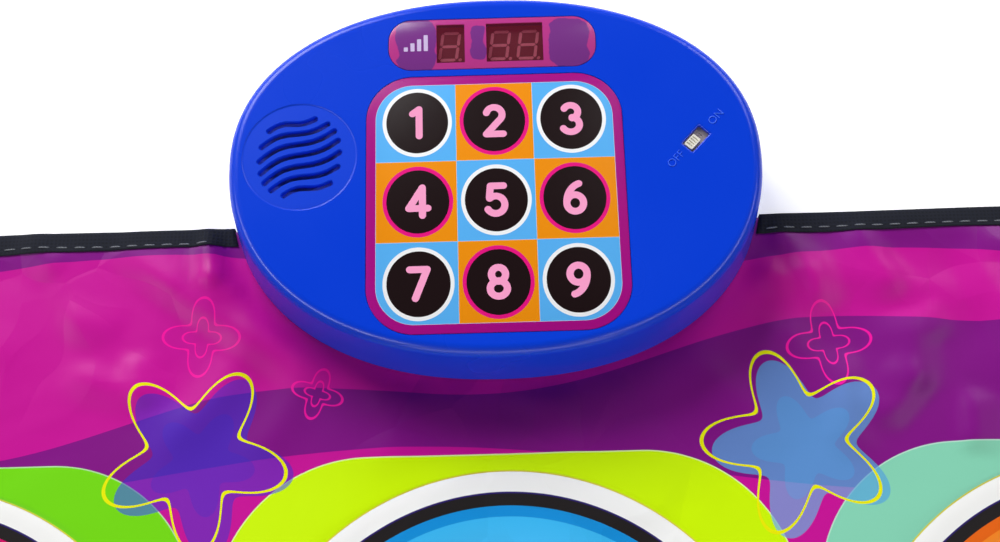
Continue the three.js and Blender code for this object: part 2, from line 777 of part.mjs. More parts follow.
// Board and what stands on it
const boardHoles = postPlaces.map(([x, y]) =>
  disc(postRadius + fitGap, x, y, boardZ - fitGap, boardTopZ + fitGap, tinySteps));
place(controls, 'circuit_board', cut(
  box(2 * boardHalfWidth, 2 * boardHalfDepth, boardThickness, 0, boardY, boardZ),
  ...boardHoles,
), boardMaterial);
const baffleHalfX = numberPitchX + lightHoleRadiusX + baffleMargin;
const baffleHalfY = numberPitchY + lightHoleRadiusY + baffleMargin;
place(controls, 'light_baffle', cut(
  box(2 * baffleHalfX, 2 * baffleHalfY, boardDrop - fitGap, 0, panelY, boardTopZ),
  ...lightHoles,
), baffleMaterial);
numberPlaces.forEach(([x, y], index) => {
  const dome = ledHeight - ledRadius;
  const halfway = ledRadius * Math.SQRT1_2;
  const profile = [
    [0, 0],
    [ledFlangeRadius, 0],
    [ledFlangeRadius, ledFlangeHeight],
    [ledRadius, ledFlangeHeight],
    [ledRadius, dome],
    [halfway, dome + halfway],
    [0, ledHeight],
  ];
  place(controls, `indicator_led_${index + 1}`,
    turned(profile, x, y, boardTopZ, tinySteps), ledMaterial);
});
place(controls, 'display_single', box(
  singleWidth, displayDepth, displayHeight, singleOffset, displayY + displayOffsetY, boardTopZ,
), displayMaterial);
place(controls, 'display_double', box(
  doubleWidth, displayDepth, displayHeight, doubleOffset, displayY + displayOffsetY, boardTopZ,
), displayMaterial);
place(controls, 'main_chip', box(
  chipSize, chipSize, chipHeight, chipX, panelY - chipAheadOfPanel, boardZ - chipHeight,
), chipMaterial);

// Ribbon: it leaves the films through the channel in the base plate and turns up behind
// the top sheet's edge into a connector under the board.
const tailStartY = consoleFrontY(tailX + tailWidth / 2, -notchClearance) + fitGap;
const ribbonPath = [[tailStartY, upperFilmZ + filmThickness / 2]];
for (let step = 0; step <= cornerSteps; step += 1) {
  const angle = Math.PI / 2 * step / cornerSteps;
  ribbonPath.push([
    tailRiseY - tailBend + tailBend * Math.sin(angle),
    upperFilmZ + filmThickness / 2 + tailBend - tailBend * Math.cos(angle),
  ]);
}
ribbonPath.push([tailRiseY, boardZ - connectorHeight + connectorGrip]);
const ribbonSide = (side) => ribbonPath.map(([y, z], index) => {
  const before = ribbonPath[Math.max(index - 1, 0)];
  const after = ribbonPath[Math.min(index + 1, ribbonPath.length - 1)];
  const run = new THREE.Vector2(after[0] - before[0], after[1] - before[1]).normalize();
  return new THREE.Vector2(
    y - side * run.y * filmThickness / 2, z + side * run.x * filmThickness / 2);
});
const ribbonShape = new THREE.Shape([...ribbonSide(-1), ...ribbonSide(1).reverse()]);
const ribbon = new THREE.ExtrudeGeometry(ribbonShape, { depth: tailWidth, bevelEnabled: false });
ribbon.rotateX(Math.PI / 2).rotateZ(Math.PI / 2).translate(tailX - tailWidth / 2, 0, 0);
place(controls, 'film_tail', solid(ribbon), filmMaterial);
place(controls, 'tail_connector', cut(
  box(connectorLength, connectorWidth, connectorHeight, tailX, tailRiseY,
    boardZ - connectorHeight),
  box(tailWidth + 2 * fitGap, filmThickness + 2 * fitGap, connectorGrip + 2 * fitGap,
    tailX, tailRiseY, boardZ - connectorHeight - fitGap),
), connectorMaterial);

// Speaker: a pressed basket with its cone in front and its magnet behind.
const basketTop = speakerHeight - coneRimThickness;
const speakerZ = ceilingZ - speakerHeight;
const basketWall = 1.2;
const basketProfile = [
  [speakerRadius * 0.87, basketTop],
  [speakerRadius, basketTop],
  [speakerRadius, basketTop - basketWall],
  [speakerRadius * 0.9, basketTop - basketWall],
  [speakerRadius * 0.5, 0],
  [speakerRadius * 0.3, 0],
  [speakerRadius * 0.3, basketWall],
  [speakerRadius * 0.475, basketWall],
  [speakerRadius * 0.87, basketTop],
];
place(controls, 'speaker_basket',
  turned(basketProfile.reverse(), speakerX, speakerY, speakerZ, 2 * tinySteps), speakerMaterial);
const coneProfile = [
  [0, speakerHeight * 0.25],
  [speakerRadius * 0.31, speakerHeight * 0.25],
  [speakerRadius * 0.83, basketTop],
  [speakerRadius * 0.97, basketTop],
  [speakerRadius * 0.97, speakerHeight],
  [speakerRadius * 0.79, speakerHeight],
  [speakerRadius * 0.3, speakerHeight * 0.33],
  [speakerRadius * 0.2, speakerHeight * 0.45],
  [0, speakerHeight * 0.52],
];
place(controls, 'speaker_cone',
  turned(coneProfile, speakerX, speakerY, speakerZ, 2 * tinySteps), coneMaterial);
place(controls, 'speaker_magnet', turned([
  [0, 0],
  [magnetRadius, 0],
  [magnetRadius, magnetHeight],
  [speakerRadius * 0.3 - fitGap, magnetHeight],
  [speakerRadius * 0.3 - fitGap, magnetHeight + basketWall],
  [0, magnetHeight + basketWall],
], speakerX, speakerY, speakerZ - magnetHeight, 2 * tinySteps), magnetMaterial);

// Power switch: a metal case under the shell, and a ribbed knob that slides in its slot.
const housing = cut(
  box(housingLength, housingWidth, housingHeight, 0, 0, ceilingZ - housingHeight),
  box(stemLength + knobTravel + 2 * fitGap, stemWidth + 2 * fitGap, 2 * stemDepth + 2 * fitGap,
    0, 0, ceilingZ - stemDepth - fitGap));
place(controls, 'switch_housing', turnedSwitch(housing), switchMaterial);
const knobRibs = [];
for (let rib = -1; rib <= 1; rib += 1) {
  knobRibs.push(box(
    knobLength / 10, 2 * knobWidth, knobHeight / 4,
    rib * knobLength / 4, 0, ceilingZ + knobHeight * 0.85));
}
const knob = join(
  cut(box(knobLength, knobWidth, knobHeight, 0, 0, ceilingZ), ...knobRibs),
  box(stemLength, stemWidth, stemDepth + knobHeight / 2, 0, 0, ceilingZ - stemDepth));
place(controls, 'switch_knob',
  turnedSwitch(knob.translate([-knobTravel / 2, 0, 0])), knobMaterial);

// Wires from the board to the speaker, the battery box and the switch.
function wire(name, points) {
  const path = new THREE.CatmullRomCurve3(points.map((point) => new THREE.Vector3(...point)));
  const geometry = new THREE.ExtrudeGeometry(ring(wireRadius, wireRadius, 0, 0, 8), {
    steps: wireSteps,
    extrudePath: path,
  });
  place(controls, name, solid(geometry), wireMaterial);
}
const wireTopZ = boardTopZ + fitGap + wireRadius;
const speakerEdgeX = speakerX + speakerRadius * 0.7;
wire('speaker_wire', [
  [speakerEdgeX + 2 * wireRadius, speakerY - speakerRadius * 0.5, speakerZ + basketWall],
  [speakerEdgeX + 5 * wireRadius, speakerY - speakerRadius * 0.6, boardTopZ],
  [-boardHalfWidth + wireRadius, speakerY - speakerRadius * 0.6, wireTopZ],
  [-boardHalfWidth + 5 * wireRadius, speakerY - speakerRadius * 0.6, wireTopZ],
]);
const boxSideX = -boxHalfLength - boxWall - fitGap - wireRadius;
wire('battery_wire', [
  [boxSideX, cellY, baseTopZ + cellRadius],
  [boxSideX, cellY, baseTopZ + 2 * cellRadius],
  [boxSideX - 3 * wireRadius, cellY, boardZ - 3 * wireRadius],
  [boxSideX - 3 * wireRadius, cellY, boardZ - fitGap],
]);
const housingReach = housingLength / 2;
wire('switch_wire', [
  [switchX - housingReach * 0.9, switchY - housingReach * 0.7, ceilingZ - housingHeight],
  [switchX - housingReach * 1.4, switchY - housingReach * 0.9, ceilingZ - housingHeight],
  [boardHalfWidth, switchY - housingReach * 0.9, wireTopZ],
  [boardHalfWidth - 5 * wireRadius, switchY - housingReach * 0.9, wireTopZ],
]);

export default danceMat;
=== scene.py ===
"""An electronic dance mat: a printed floor mat with nine step pads and a blue control console."""
import math

import bmesh
import bpy
import numpy as np
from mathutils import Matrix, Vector


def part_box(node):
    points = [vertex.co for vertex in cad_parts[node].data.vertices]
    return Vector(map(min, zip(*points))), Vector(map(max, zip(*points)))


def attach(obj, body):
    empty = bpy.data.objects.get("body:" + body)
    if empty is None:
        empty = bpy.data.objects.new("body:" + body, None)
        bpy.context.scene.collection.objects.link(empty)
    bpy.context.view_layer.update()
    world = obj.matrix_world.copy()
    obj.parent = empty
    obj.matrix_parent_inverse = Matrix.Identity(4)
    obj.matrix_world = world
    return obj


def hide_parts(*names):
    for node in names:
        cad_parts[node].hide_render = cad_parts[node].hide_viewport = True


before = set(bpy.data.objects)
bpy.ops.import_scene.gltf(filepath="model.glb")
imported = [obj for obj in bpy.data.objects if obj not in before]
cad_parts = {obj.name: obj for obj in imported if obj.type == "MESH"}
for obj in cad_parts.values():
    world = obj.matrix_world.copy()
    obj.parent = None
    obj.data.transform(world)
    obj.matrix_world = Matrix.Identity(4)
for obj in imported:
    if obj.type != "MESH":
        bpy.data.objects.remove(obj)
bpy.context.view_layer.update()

# Camera
# A photographer's view from above the console's front, 18 degrees off the vertical, with
# the mat's near part running out of the picture.
camera_data = bpy.data.cameras.new("camera")
camera_data.sensor_width = 36.0
camera_data.lens = 47.9
camera_data.clip_start = 0.01
camera = bpy.data.objects.new("camera", camera_data)
camera.location = (0.00067, 0.1994, 0.5565)
camera.rotation_mode = "ZYX"
camera.rotation_euler = (math.radians(18.0), 0.0, math.radians(-1.6))
bpy.context.scene.collection.objects.link(camera)
bpy.context.scene.camera = camera

# Floor and light
# A white paper floor, lit by two soft boxes behind the mat and a low wide one in front. Long
# strip lights at the sides only draw a thin line of light along the console's shoulder. The
# studio's sizes are in metres, and the object's own, from the next section on, are in mm.
MM = 0.001


def linear(hex_colour):
    """An sRGB hex colour as linear RGBA."""
    parts = [int(hex_colour[i:i + 2], 16) / 255 for i in (1, 3, 5)]
    return [p / 12.92 if p <= 0.04045 else ((p + 0.055) / 1.055) ** 2.4 for p in parts] + [1.0]


def node_adder(tree):
    """Gives the function that adds one node to a tree, with its settings and links."""

    def add(kind, *inputs, named=None, stops=None, **settings):
        """Feeds inputs in order, or by name, each with a value, a socket, or a node, whose
        first output is taken; stops are the even steps of a colour ramp."""
        made = tree.nodes.new("ShaderNode" + kind)
        for name, value in settings.items():
            setattr(made, name, value)
        if stops:
            made.color_ramp.interpolation = "CONSTANT"
            for index, colour in enumerate(stops):
                if index >= len(made.color_ramp.elements):
                    made.color_ramp.elements.new(1.0)
                made.color_ramp.elements[index].position = index / len(stops)
                made.color_ramp.elements[index].color = linear(colour)
        fed = list(zip([socket for socket in made.inputs if socket.enabled], inputs))
        fed += [(made.inputs[name], value) for name, value in (named or {}).items()]
        for socket, value in fed:
            if isinstance(value, bpy.types.Node):
                value = next(output for output in value.outputs if output.enabled)
            if isinstance(value, bpy.types.NodeSocket):
                tree.links.new(value, socket)
            else:
                socket.default_value = value
        return made

    return add


def new_material(name):
    """An empty node material, and the function that adds nodes to it."""
    material = bpy.data.materials.new(name)
    material.use_nodes = True
    material.node_tree.nodes.clear()
    return material, node_adder(material.node_tree)


def new_piece(name, mesh, material):
    """A finished mesh as a piece at the origin, in one material or in none yet."""
    mesh.materials.clear()
    if material:
        mesh.materials.append(material)
    piece = bpy.data.objects.new(name, mesh)
    bpy.context.scene.collection.objects.link(piece)
    return piece


def build(name, points, faces, material=None):
    """A new piece at the origin from points in metres and faces."""
    mesh = bpy.data.meshes.new(name)
    mesh.from_pydata(np.asarray(points, float).tolist(), [],
                     faces if isinstance(faces, list) else faces.tolist())
    mesh.polygons.foreach_set("use_smooth", np.ones(len(mesh.polygons), bool))
    mesh.update()
    return new_piece(name, mesh, material)


# Matt background paper, so bright that it leaves only the faintest shadow.
floor_material, add = new_material("studio_floor_paper")
add("OutputMaterial", add("BsdfPrincipled", named={
    "Base Color": linear("#FDFDFD"), "Roughness": 0.9,
    "Emission Color": linear("#FFFFFF"), "Emission Strength": 0.45}))
FLOOR_HALF = 6.0
FLOOR_LEVEL = -0.0004
floor = build("floor", [(x, y, FLOOR_LEVEL) for x, y in (
    (-FLOOR_HALF, -FLOOR_HALF), (FLOOR_HALF, -FLOOR_HALF),
    (FLOOR_HALF, FLOOR_HALF), (-FLOOR_HALF, FLOOR_HALF))], [[0, 1, 2, 3]], floor_material)

# The room: bright walls under a dimmer ceiling, which keeps a white veil off flat glossy tops.
world = bpy.data.worlds.new("studio")
bpy.context.scene.world = world
world.use_nodes = True
world.node_tree.nodes.clear()
add = node_adder(world.node_tree)
upward = add("SeparateXYZ", add("TexCoord").outputs["Generated"]).outputs[2]
room_light = add("MapRange", upward, 0.45, 0.92, 0.27, 0.09)
add("OutputWorld", add("Background", (1.0, 1.0, 1.0, 1.0), room_light))
bpy.context.scene.view_settings.view_transform = "Standard"


def softbox(name, place, aim, width, height, power, highlight_only=False):
    """A rectangular area light at one place that faces another, with its width level; it
    can be left out of the diffuse light, so that it only draws highlights."""
    light = bpy.data.lights.new(name, "AREA")
    light.shape = "RECTANGLE"
    light.size = width
    light.size_y = height
    light.energy = power
    lamp = bpy.data.objects.new(name, light)
    lamp.location = place
    lamp.rotation_mode = "QUATERNION"
    lamp.rotation_quaternion = (Vector(place) - Vector(aim)).to_track_quat("Z", "Y")
    lamp.visible_diffuse = not highlight_only
    bpy.context.scene.collection.objects.link(lamp)


softbox("softbox_back", (-1.2, 2.3, 1.5), (0.0, 0.3, 0.0), 1.4, 1.1, 70.0)
softbox("softbox_right", (1.3, 2.1, 1.5), (0.0, 0.3, 0.0), 1.0, 1.0, 22.0)
softbox("softbox_front", (0.1, -1.7, 0.6), (0.0, 0.3, 0.0), 1.8, 0.7, 17.0)
softbox("strip_left", (-1.3, -0.13, 1.12), (-0.05, 0.7, 0.0), 2.5, 0.07, 26.0, True)
softbox("strip_right", (1.3, -0.13, 1.12), (0.05, 0.7, 0.0), 2.5, 0.07, 17.0, True)

# Printed top sheet and step pads
# The playing face: glossy printed PVC sheet laid over foam, creased where it was folded in
# its box and puckered where the console clamps it. Nine printed discs of the same sheet
# stand on the contact films and give under a foot.


def box_mm(name):
    """A CAD node's lowest and highest corners in mm."""
    return np.round(np.array(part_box(name), float) / MM, 3)


sheet_low, sheet_high = box_mm("top_sheet")
mat_half = (sheet_high[0] - sheet_low[0]) / 2
mat_middle_y = (sheet_low[1] + sheet_high[1]) / 2
sheet_top = sheet_high[2]
sheet_thickness = sheet_high[2] - sheet_low[2]
MAT_CORNER = 40.0
pad_boxes = [box_mm(f"step_pad_{number}") for number in range(1, 10)]
pad_centres = [tuple((low + high)[:2] / 2) for low, high in pad_boxes]
pad_radius = (pad_boxes[0][1] - pad_boxes[0][0])[0] / 2
pad_pitch = pad_centres[1][0] - pad_centres[0][0]
pads_middle_y = pad_centres[4][1]
SEAM = 0.06
# The console's plan is a superellipse, deeper in front of its widest line than behind it.
console_low, console_high = box_mm("top_shell")
console_half_width = console_high[0]
CONSOLE_BACK_REACH = 80.0
CONSOLE_FRONT_REACH = 89.0
CONSOLE_EXPONENT = 2.2
console_widest_y = console_high[1] - CONSOLE_BACK_REACH


def smoothstep(low, high, value):
    """0 below low, 1 above high, and an even S-curve between."""
    share = np.clip((value - low) / (high - low), 0.0, 1.0)
    return share * share * (3.0 - 2.0 * share)


def console_reach(x, y):
    """About how far (mm) a point lies outside the console's oval plan: the superellipse's
    level value less one, times the mean half width."""
    half_depth = np.where(y > console_widest_y, CONSOLE_BACK_REACH, CONSOLE_FRONT_REACH)
    level = ((np.abs(x) / console_half_width) ** CONSOLE_EXPONENT
             + (np.abs(y - console_widest_y) / half_depth) ** CONSOLE_EXPONENT)
    return (level ** (1 / CONSOLE_EXPONENT) - 1.0) * 0.5 * (console_half_width + half_depth)


# Each soft crease: start x, y, end x, y, height and half width, in mm.
CREASES = np.array([
    (-128, 402, -123, 374, 2.2, 4), (-108, 350, -140, 306, 2.2, 9),
    (-84, 334, -104, 300, 1.6, 9), (-40, 326, -52, 296, 1.4, 10),
    (20, 324, 28, 296, 1.4, 11), (-236, 392, -262, 330, 1.6, 10),
    (-300, 384, -330, 340, 1.6, 12), (120, 396, 138, 362, 2.4, 6),
    (118, 372, 214, 356, 1.6, 9), (112, 352, 146, 306, 2.0, 9),
    (84, 334, 110, 298, 1.6, 9), (150, 396, 236, 380, 1.6, 8),
    (262, 396, 330, 360, 1.8, 12), (330, 300, 352, 180, 1.2, 9),
    (-330, 330, -372, 240, 1.2, 10), (-392, 100, -372, -40, 1.0, 10),
    (384, 60, 400, -90, 1.0, 10), (-123, 150, -123, -20, 0.9, 12),
    (123, -150, 123, -330, 0.9, 12), (-250, -460, -60, -452, 1.0, 10),
    (90, -462, 300, -452, 1.0, 12),
], float)
# Each sharp fold: start x, y, end x, y, height, and the widths of its two sides, in mm.
FOLDS = np.array([
    (-158, 388, -84, 336, 4.2, 26, 11), (-128, 396, -127, 376, 2.0, 9, 5),
    (-127, 380, -112, 372, 1.6, 6, 8), (-206, 400, -192, 385, 2.0, 8, 14),
    (-194, 388, -178, 352, 1.8, 20, 9), (-188, 365, -165, 357, 1.0, 8, 12),
    (-182, 338, -154, 328, 1.8, 7, 12), (-158, 343, -150, 324, 2.2, 12, 6),
    (108, 381, 127, 368, 3.1, 8, 11), (129, 366, 124, 340, 2.2, 9, 16),
    (132, 380, 140, 358, 2.1, 13, 7), (156, 392, 172, 366, 3.5, 8, 16),
    (175, 352, 176, 324, 3.8, 12, 20), (177, 327, 158, 308, 3.5, 9, 14),
    (198, 318, 195, 296, 2.9, 16, 6), (147, 334, 143, 298, 2.4, 16, 9),
    (184, 358, 189, 344, 2.0, 6, 10), (208, 380, 226, 330, 3.1, 22, 12),
    (236, 360, 214, 322, 2.8, 16, 20), (250, 390, 300, 372, 2.9, 9, 18),
    (-252, 372, -222, 340, 2.0, 20, 11), (-300, 352, -268, 322, 1.7, 12, 20),
    (-388, 240, -372, 190, 1.7, 16, 10), (372, 30, 398, -40, 2.4, 18, 10),
    (390, -200, 372, -260, 2.4, 12, 18), (-380, -180, -398, -250, 1.7, 18, 12),
], float)
# How round a fold's ridge is, in mm.
FOLD_ROUND = 1.2
# The sheet is held flat up to the first of these distances and free beyond the second, in
# mm: from a pad's middle, and from the console's outline.
FLAT_AT_PAD = (78.0, 118.0)
FLAT_AT_CONSOLE = (0.5, 11.0)


def sheet_rise(x, y):
    """How far (mm) the laid sheet stands above its flat level: a slow undulation about half a
    mm high, a rounded ridge of height / cosh(offset / width) ** 2 along each soft crease, and
    a roof of height * max(1 - offset / width, 0) along each fold; all die away past the
    lines' ends, under the console and in the middle of each pad."""
    x = np.asarray(x, float)
    y = np.asarray(y, float)
    rise = 0.5 + 0.28 * np.sin(x / 71 + 1.3) * np.cos(y / 83 - 0.4) \
        + 0.2 * np.sin(x / 37 - y / 52 + 2.1)

    def along_line(start_x, start_y, end_x, end_y):
        """The share of a line passed, the offset to its right, and its length."""
        run = np.array([end_x - start_x, end_y - start_y])
        length = np.hypot(*run)
        along = ((x - start_x) * run[0] + (y - start_y) * run[1]) / length ** 2
        across = ((x - start_x) * run[1] - (y - start_y) * run[0]) / length
        return along, across, length

    for *line, height, width in CREASES:
        along, across, length = along_line(*line)
        bend = across + 0.06 * length * np.sin(np.pi * np.clip(along, -0.5, 1.5))
        ends = np.exp(-(np.clip(np.abs(along - 0.5) - 0.25, 0, None) / 0.35) ** 2)
        rise = rise + height * ends / np.cosh(bend / width) ** 2
    for *line, height, left, right in FOLDS:
        along, across, length = along_line(*line)
        round_offset = np.sqrt(across ** 2 + FOLD_ROUND ** 2) - FOLD_ROUND
        roof = np.clip(1 - round_offset / np.where(across < 0, left, right), 0, None)
        ends = np.clip(1.25 - np.abs(2 * along - 1) ** 2 * 0.75, 0, 1)
        rise = rise + height * roof * ends
    nearest_x = np.clip(np.round(x / pad_pitch), -1, 1) * pad_pitch
    nearest_y = pads_middle_y + np.clip(np.round((y - pads_middle_y) / pad_pitch), -1, 1) * pad_pitch
    from_pad = np.hypot(x - nearest_x, y - nearest_y)
    taut = 0.02 + 0.98 * smoothstep(*FLAT_AT_PAD, from_pad)
    return rise * taut * smoothstep(*FLAT_AT_CONSOLE, console_reach(x, y))


def grid_faces(rows, columns, wrap=False):
    """Quads over a grid of rows by columns of points, closed round its columns if wrapped."""
    row, column = np.meshgrid(np.arange(rows - 1), np.arange(columns - (0 if wrap else 1)),
                              indexing="ij")
    after = (column + 1) % columns
    return np.stack([row * columns + column, row * columns + after,
                     (row + 1) * columns + after, (row + 1) * columns + column],
                    axis=-1).reshape(-1, 4)


def gather(patches):
    """Puts patches of (points, faces) into one array of each."""
    points, faces, count = [], [], 0
    for patch_points, patch_faces in patches:
        points.append(patch_points)
        faces.append(patch_faces + count)
        count += len(patch_points)
    return np.concatenate(points), np.concatenate(faces)


# Steps of the sheet's grid: along a cell's side, from a pad's seam to its cell's edge, and
# across the mat's side, back and front margins.
SIDE_STEPS = 80
CELL_RINGS = 9
SIDE_MARGIN_STEPS = 15
BACK_MARGIN_STEPS = 33
FRONT_MARGIN_STEPS = 11


def cell_patch(centre, inner_radius, rings):
    """The sheet round one pad: point = (1 - s) * circle + s * square, both taken in the same
    direction from the pad's centre, with s from 0 at the hole to 1 at the cell's edge."""
    half = pad_pitch / 2
    run = np.linspace(-half, half, SIDE_STEPS + 1)[:-1]
    edge = np.full(SIDE_STEPS, half)
    square = np.concatenate([np.stack([edge, run], 1), np.stack([-run, edge], 1),
                             np.stack([-edge, -run], 1), np.stack([run, -edge], 1)])
    circle = inner_radius * square / np.linalg.norm(square, axis=1, keepdims=True)
    share = np.linspace(0, 1, rings + 1)[:, None, None]
    points = (1 - share) * circle + share * square + np.array(centre)
    return points.reshape(-1, 2), grid_faces(rings + 1, len(square), wrap=True)[:, ::-1]


def margin_patch(x_values, y_values):
    """A plain rectangular patch of the sheet's border."""
    x, y = np.meshgrid(x_values, y_values)
    return np.stack([x.ravel(), y.ravel()], 1), grid_faces(len(y_values), len(x_values))


def round_corners(points):
    """Draws the square's corners in to quarter circles: inside each corner square a point's
    distance from the arc's centre becomes the larger of its two offsets."""
    local = points - np.array([0.0, mat_middle_y])
    offset = np.abs(local) - (mat_half - MAT_CORNER)
    inside = (offset > 0).all(axis=1)
    length = np.hypot(offset[:, 0], offset[:, 1])
    factor = np.where(inside, offset.max(axis=1) / np.maximum(length, 1e-9), 1.0)
    drawn = (mat_half - MAT_CORNER) + offset * factor[:, None]
    local = np.where(inside[:, None], np.sign(local) * drawn, local)
    return local + np.array([0.0, mat_middle_y])


block = 1.5 * pad_pitch
cell_run = np.linspace(-block, block, 3 * SIDE_STEPS + 1)
side_run = np.linspace(block, mat_half, SIDE_MARGIN_STEPS + 1)
across_all = np.concatenate([-side_run[:0:-1], cell_run, side_run[1:]])
back_run = np.linspace(pads_middle_y + block, mat_middle_y + mat_half, BACK_MARGIN_STEPS + 1)
front_run = np.linspace(mat_middle_y - mat_half, pads_middle_y - block, FRONT_MARGIN_STEPS + 1)
patches = [cell_patch(centre, pad_radius + SEAM, CELL_RINGS) for centre in pad_centres]
patches += [margin_patch(side_run, pads_middle_y + cell_run),
            margin_patch(-side_run[::-1], pads_middle_y + cell_run),
            margin_patch(across_all, back_run), margin_patch(across_all, front_run)]
flat_points, sheet_faces = gather(patches)
flat_points = round_corners(flat_points)
sheet_points = np.column_stack([
    flat_points, sheet_top + sheet_rise(flat_points[:, 0], flat_points[:, 1])]) * MM

# The print's own sizes, in mm: tiles, the rings round each pad, and how soft an ink edge is.
PRINT_EDGE = 0.12
TILE_HALF = 119.5
TILE_CORNER = 62.0
TILE_EDGE = 0.5
WHITE_RING = 112.0
YELLOW_RIM = 0.6
BLACK_RING = 103.0
INDIGO_RIM = 0.7
FIELD = 98.0
FIELD_INNER = 93.5
GLOW_INNER = 20.0
TILE_COLOURS = ["#78E010", "#D4FF00", "#8CDCBC", "#FFB61E", "#8CDCBC", "#D4FF00",
                "#D4FF00", "#78E010", "#FFB61E"]
FIELD_COLOURS = ["#FF1284", "#3CBCF8", "#FF8C22", "#8A2BE0", "#FF8C22", "#3CBCF8",
                 "#3CBCF8", "#FF1284", "#8A2BE0"]
FIELD_RIMS = ["#D8066A", "#1492DE", "#F26A12", "#6A1CBC", "#F26A12", "#1492DE",
              "#1492DE", "#D8066A", "#6A1CBC"]
MAGENTA = "#CE0F9B"
PURPLE = "#861088"
PLUM = "#A3108F"
DEEP_PURPLE = "#6B0F78"


def place_in_mm(add):
    """A point's place on its piece in mm, from the piece's Object coordinates."""
    return add("VectorMath", add("TexCoord").outputs["Object"], (1 / MM,) * 3,
               operation="MULTIPLY")


def plan_offset(add, place, centre):
    """A point's offset in plan from a centre, in mm, with no height."""
    flat = add("VectorMath", place, (1, 1, 0), operation="MULTIPLY")
    return add("VectorMath", flat, (*centre, 0), operation="SUBTRACT")


def print_ink(add, under, ink, distance, edge=PRINT_EDGE, cover=1.0):
    """Prints an ink over what lies under it wherever a signed distance is below zero; cover
    is how much it hides."""
    return add("Mix", add("MapRange", distance, edge, -edge, 0.0, cover), under, ink,
               data_type="RGBA")


def nearest_cell(add, offset, pitch_x, pitch_y):
    """The middle of the nearest of three by three cells round the origin: floor(offset /
    pitch + 1 / 2) * pitch, kept within one pitch either way."""
    moved = add("VectorMath", offset, (pitch_x / 2, pitch_y / 2, 0), operation="ADD")
    whole = add("VectorMath", moved, (pitch_x, pitch_y, 1), operation="SNAP")
    lowered = add("VectorMath", whole, (pitch_x, pitch_y, 0), operation="MINIMUM")
    return add("VectorMath", lowered, (-pitch_x, -pitch_y, 0), operation="MAXIMUM")


def rounded_distance(add, offset, half_x, half_y, corner):
    """How far a point lies outside a rectangle with round corners: length(max(abs(offset) -
    half + corner, 0)) - corner."""
    size = add("VectorMath", offset, operation="ABSOLUTE")
    beyond = add("VectorMath", size, (half_x - corner, half_y - corner, 1), operation="SUBTRACT")
    outside = add("VectorMath", beyond, (0, 0, 0), operation="MAXIMUM")
    return add("Math", add("VectorMath", outside, operation="LENGTH"), corner,
               operation="SUBTRACT")


def wave_distance(add, x, y, height, slope, swing, length, phase):
    """How far a point lies above the wave y = height + slope * x + swing * sin(x / length +
    phase)."""
    angle = add("Math", x, 1 / length, phase, operation="MULTIPLY_ADD")
    line = add("Math", x, slope, height, operation="MULTIPLY_ADD")
    wave = add("Math", add("Math", angle, operation="SINE"), swing, line,
               operation="MULTIPLY_ADD")
    return add("Math", y, wave, operation="SUBTRACT")


def lobed_distance(add, offset, radius, depth, lobes, phase):
    """How far a point lies outside a blot whose edge is r = radius * (1 + depth * cos(lobes
    * angle + phase))."""
    x, y, _ = add("SeparateXYZ", offset).outputs
    angle = add("Math", y, x, operation="ARCTAN2")
    lobe_angle = add("Math", angle, lobes, phase, operation="MULTIPLY_ADD")
    edge = add("Math", add("Math", lobe_angle, operation="COSINE"), radius * depth, radius,
               operation="MULTIPLY_ADD")
    return add("Math", add("VectorMath", offset, operation="LENGTH"), edge,
               operation="SUBTRACT")


def line_distance(add, distance, half_width):
    """How far a point lies outside a line drawn along the zero of a signed distance."""
    return add("Math", add("Math", distance, operation="ABSOLUTE"), half_width,
               operation="SUBTRACT")


# Plasticised PVC sheet, gravure printed: clean flat inks under a clear, slightly wavy face
# with broad soft highlights and small handling facets.
print_material, add = new_material("printed_gloss_pvc")
place = place_in_mm(add)
x, y, _ = add("SeparateXYZ", place).outputs
from_middle = plan_offset(add, place, (0, pads_middle_y))
cell = nearest_cell(add, from_middle, pad_pitch, pad_pitch)
from_pad = add("VectorMath", from_middle, cell, operation="SUBTRACT")
pad_distance = add("VectorMath", from_pad, operation="LENGTH")
cell_number = add("VectorMath", cell, (1 / pad_pitch, -3 / pad_pitch, 0),
                  operation="DOT_PRODUCT")
pad_share = add("Math", cell_number, 1 / 9, 0.5, operation="MULTIPLY_ADD")

# Wave bands in the background, from the back of the mat to the front: an ink, then the
# height, slope, swing, length and phase of its upper and of its lower edge.
BANDS = [
    (PURPLE, (420, 0.0, 1, 100, 0.0), (380.4, -0.017, 6.7, 50, -1.87)),
    (PURPLE, (331.6, 0.11, 7.5, 36.6, -1.84), (291, -0.009, 11, 70, 2.1)),
    (PURPLE, (200, 0.10, 50, 110, 1.2), (130, -0.06, 40, 140, 0.2)),
    (DEEP_PURPLE, (60, -0.12, 50, 120, 2.2), (0, 0.05, 50, 100, 0.9)),
    (PURPLE, (-100, 0.08, 40, 130, 0.1), (-200, 0.02, 50, 120, 1.7)),
    (PLUM, (-280, 0.04, 40, 100, 2.0), (-340, -0.06, 40, 130, 0.5)),
    (PURPLE, (-420, -0.05, 30, 120, 1.4), (-470, 0.04, 20, 150, 0.8)),
]
ground = linear(MAGENTA)
for ink, upper, lower in BANDS:
    above_lower = wave_distance(add, x, y, *lower)
    outside_band = add("Math", wave_distance(add, x, y, *upper),
                       add("Math", above_lower, -1.0, operation="MULTIPLY"),
                       operation="MAXIMUM")
    ground = print_ink(add, ground, linear(ink), outside_band)

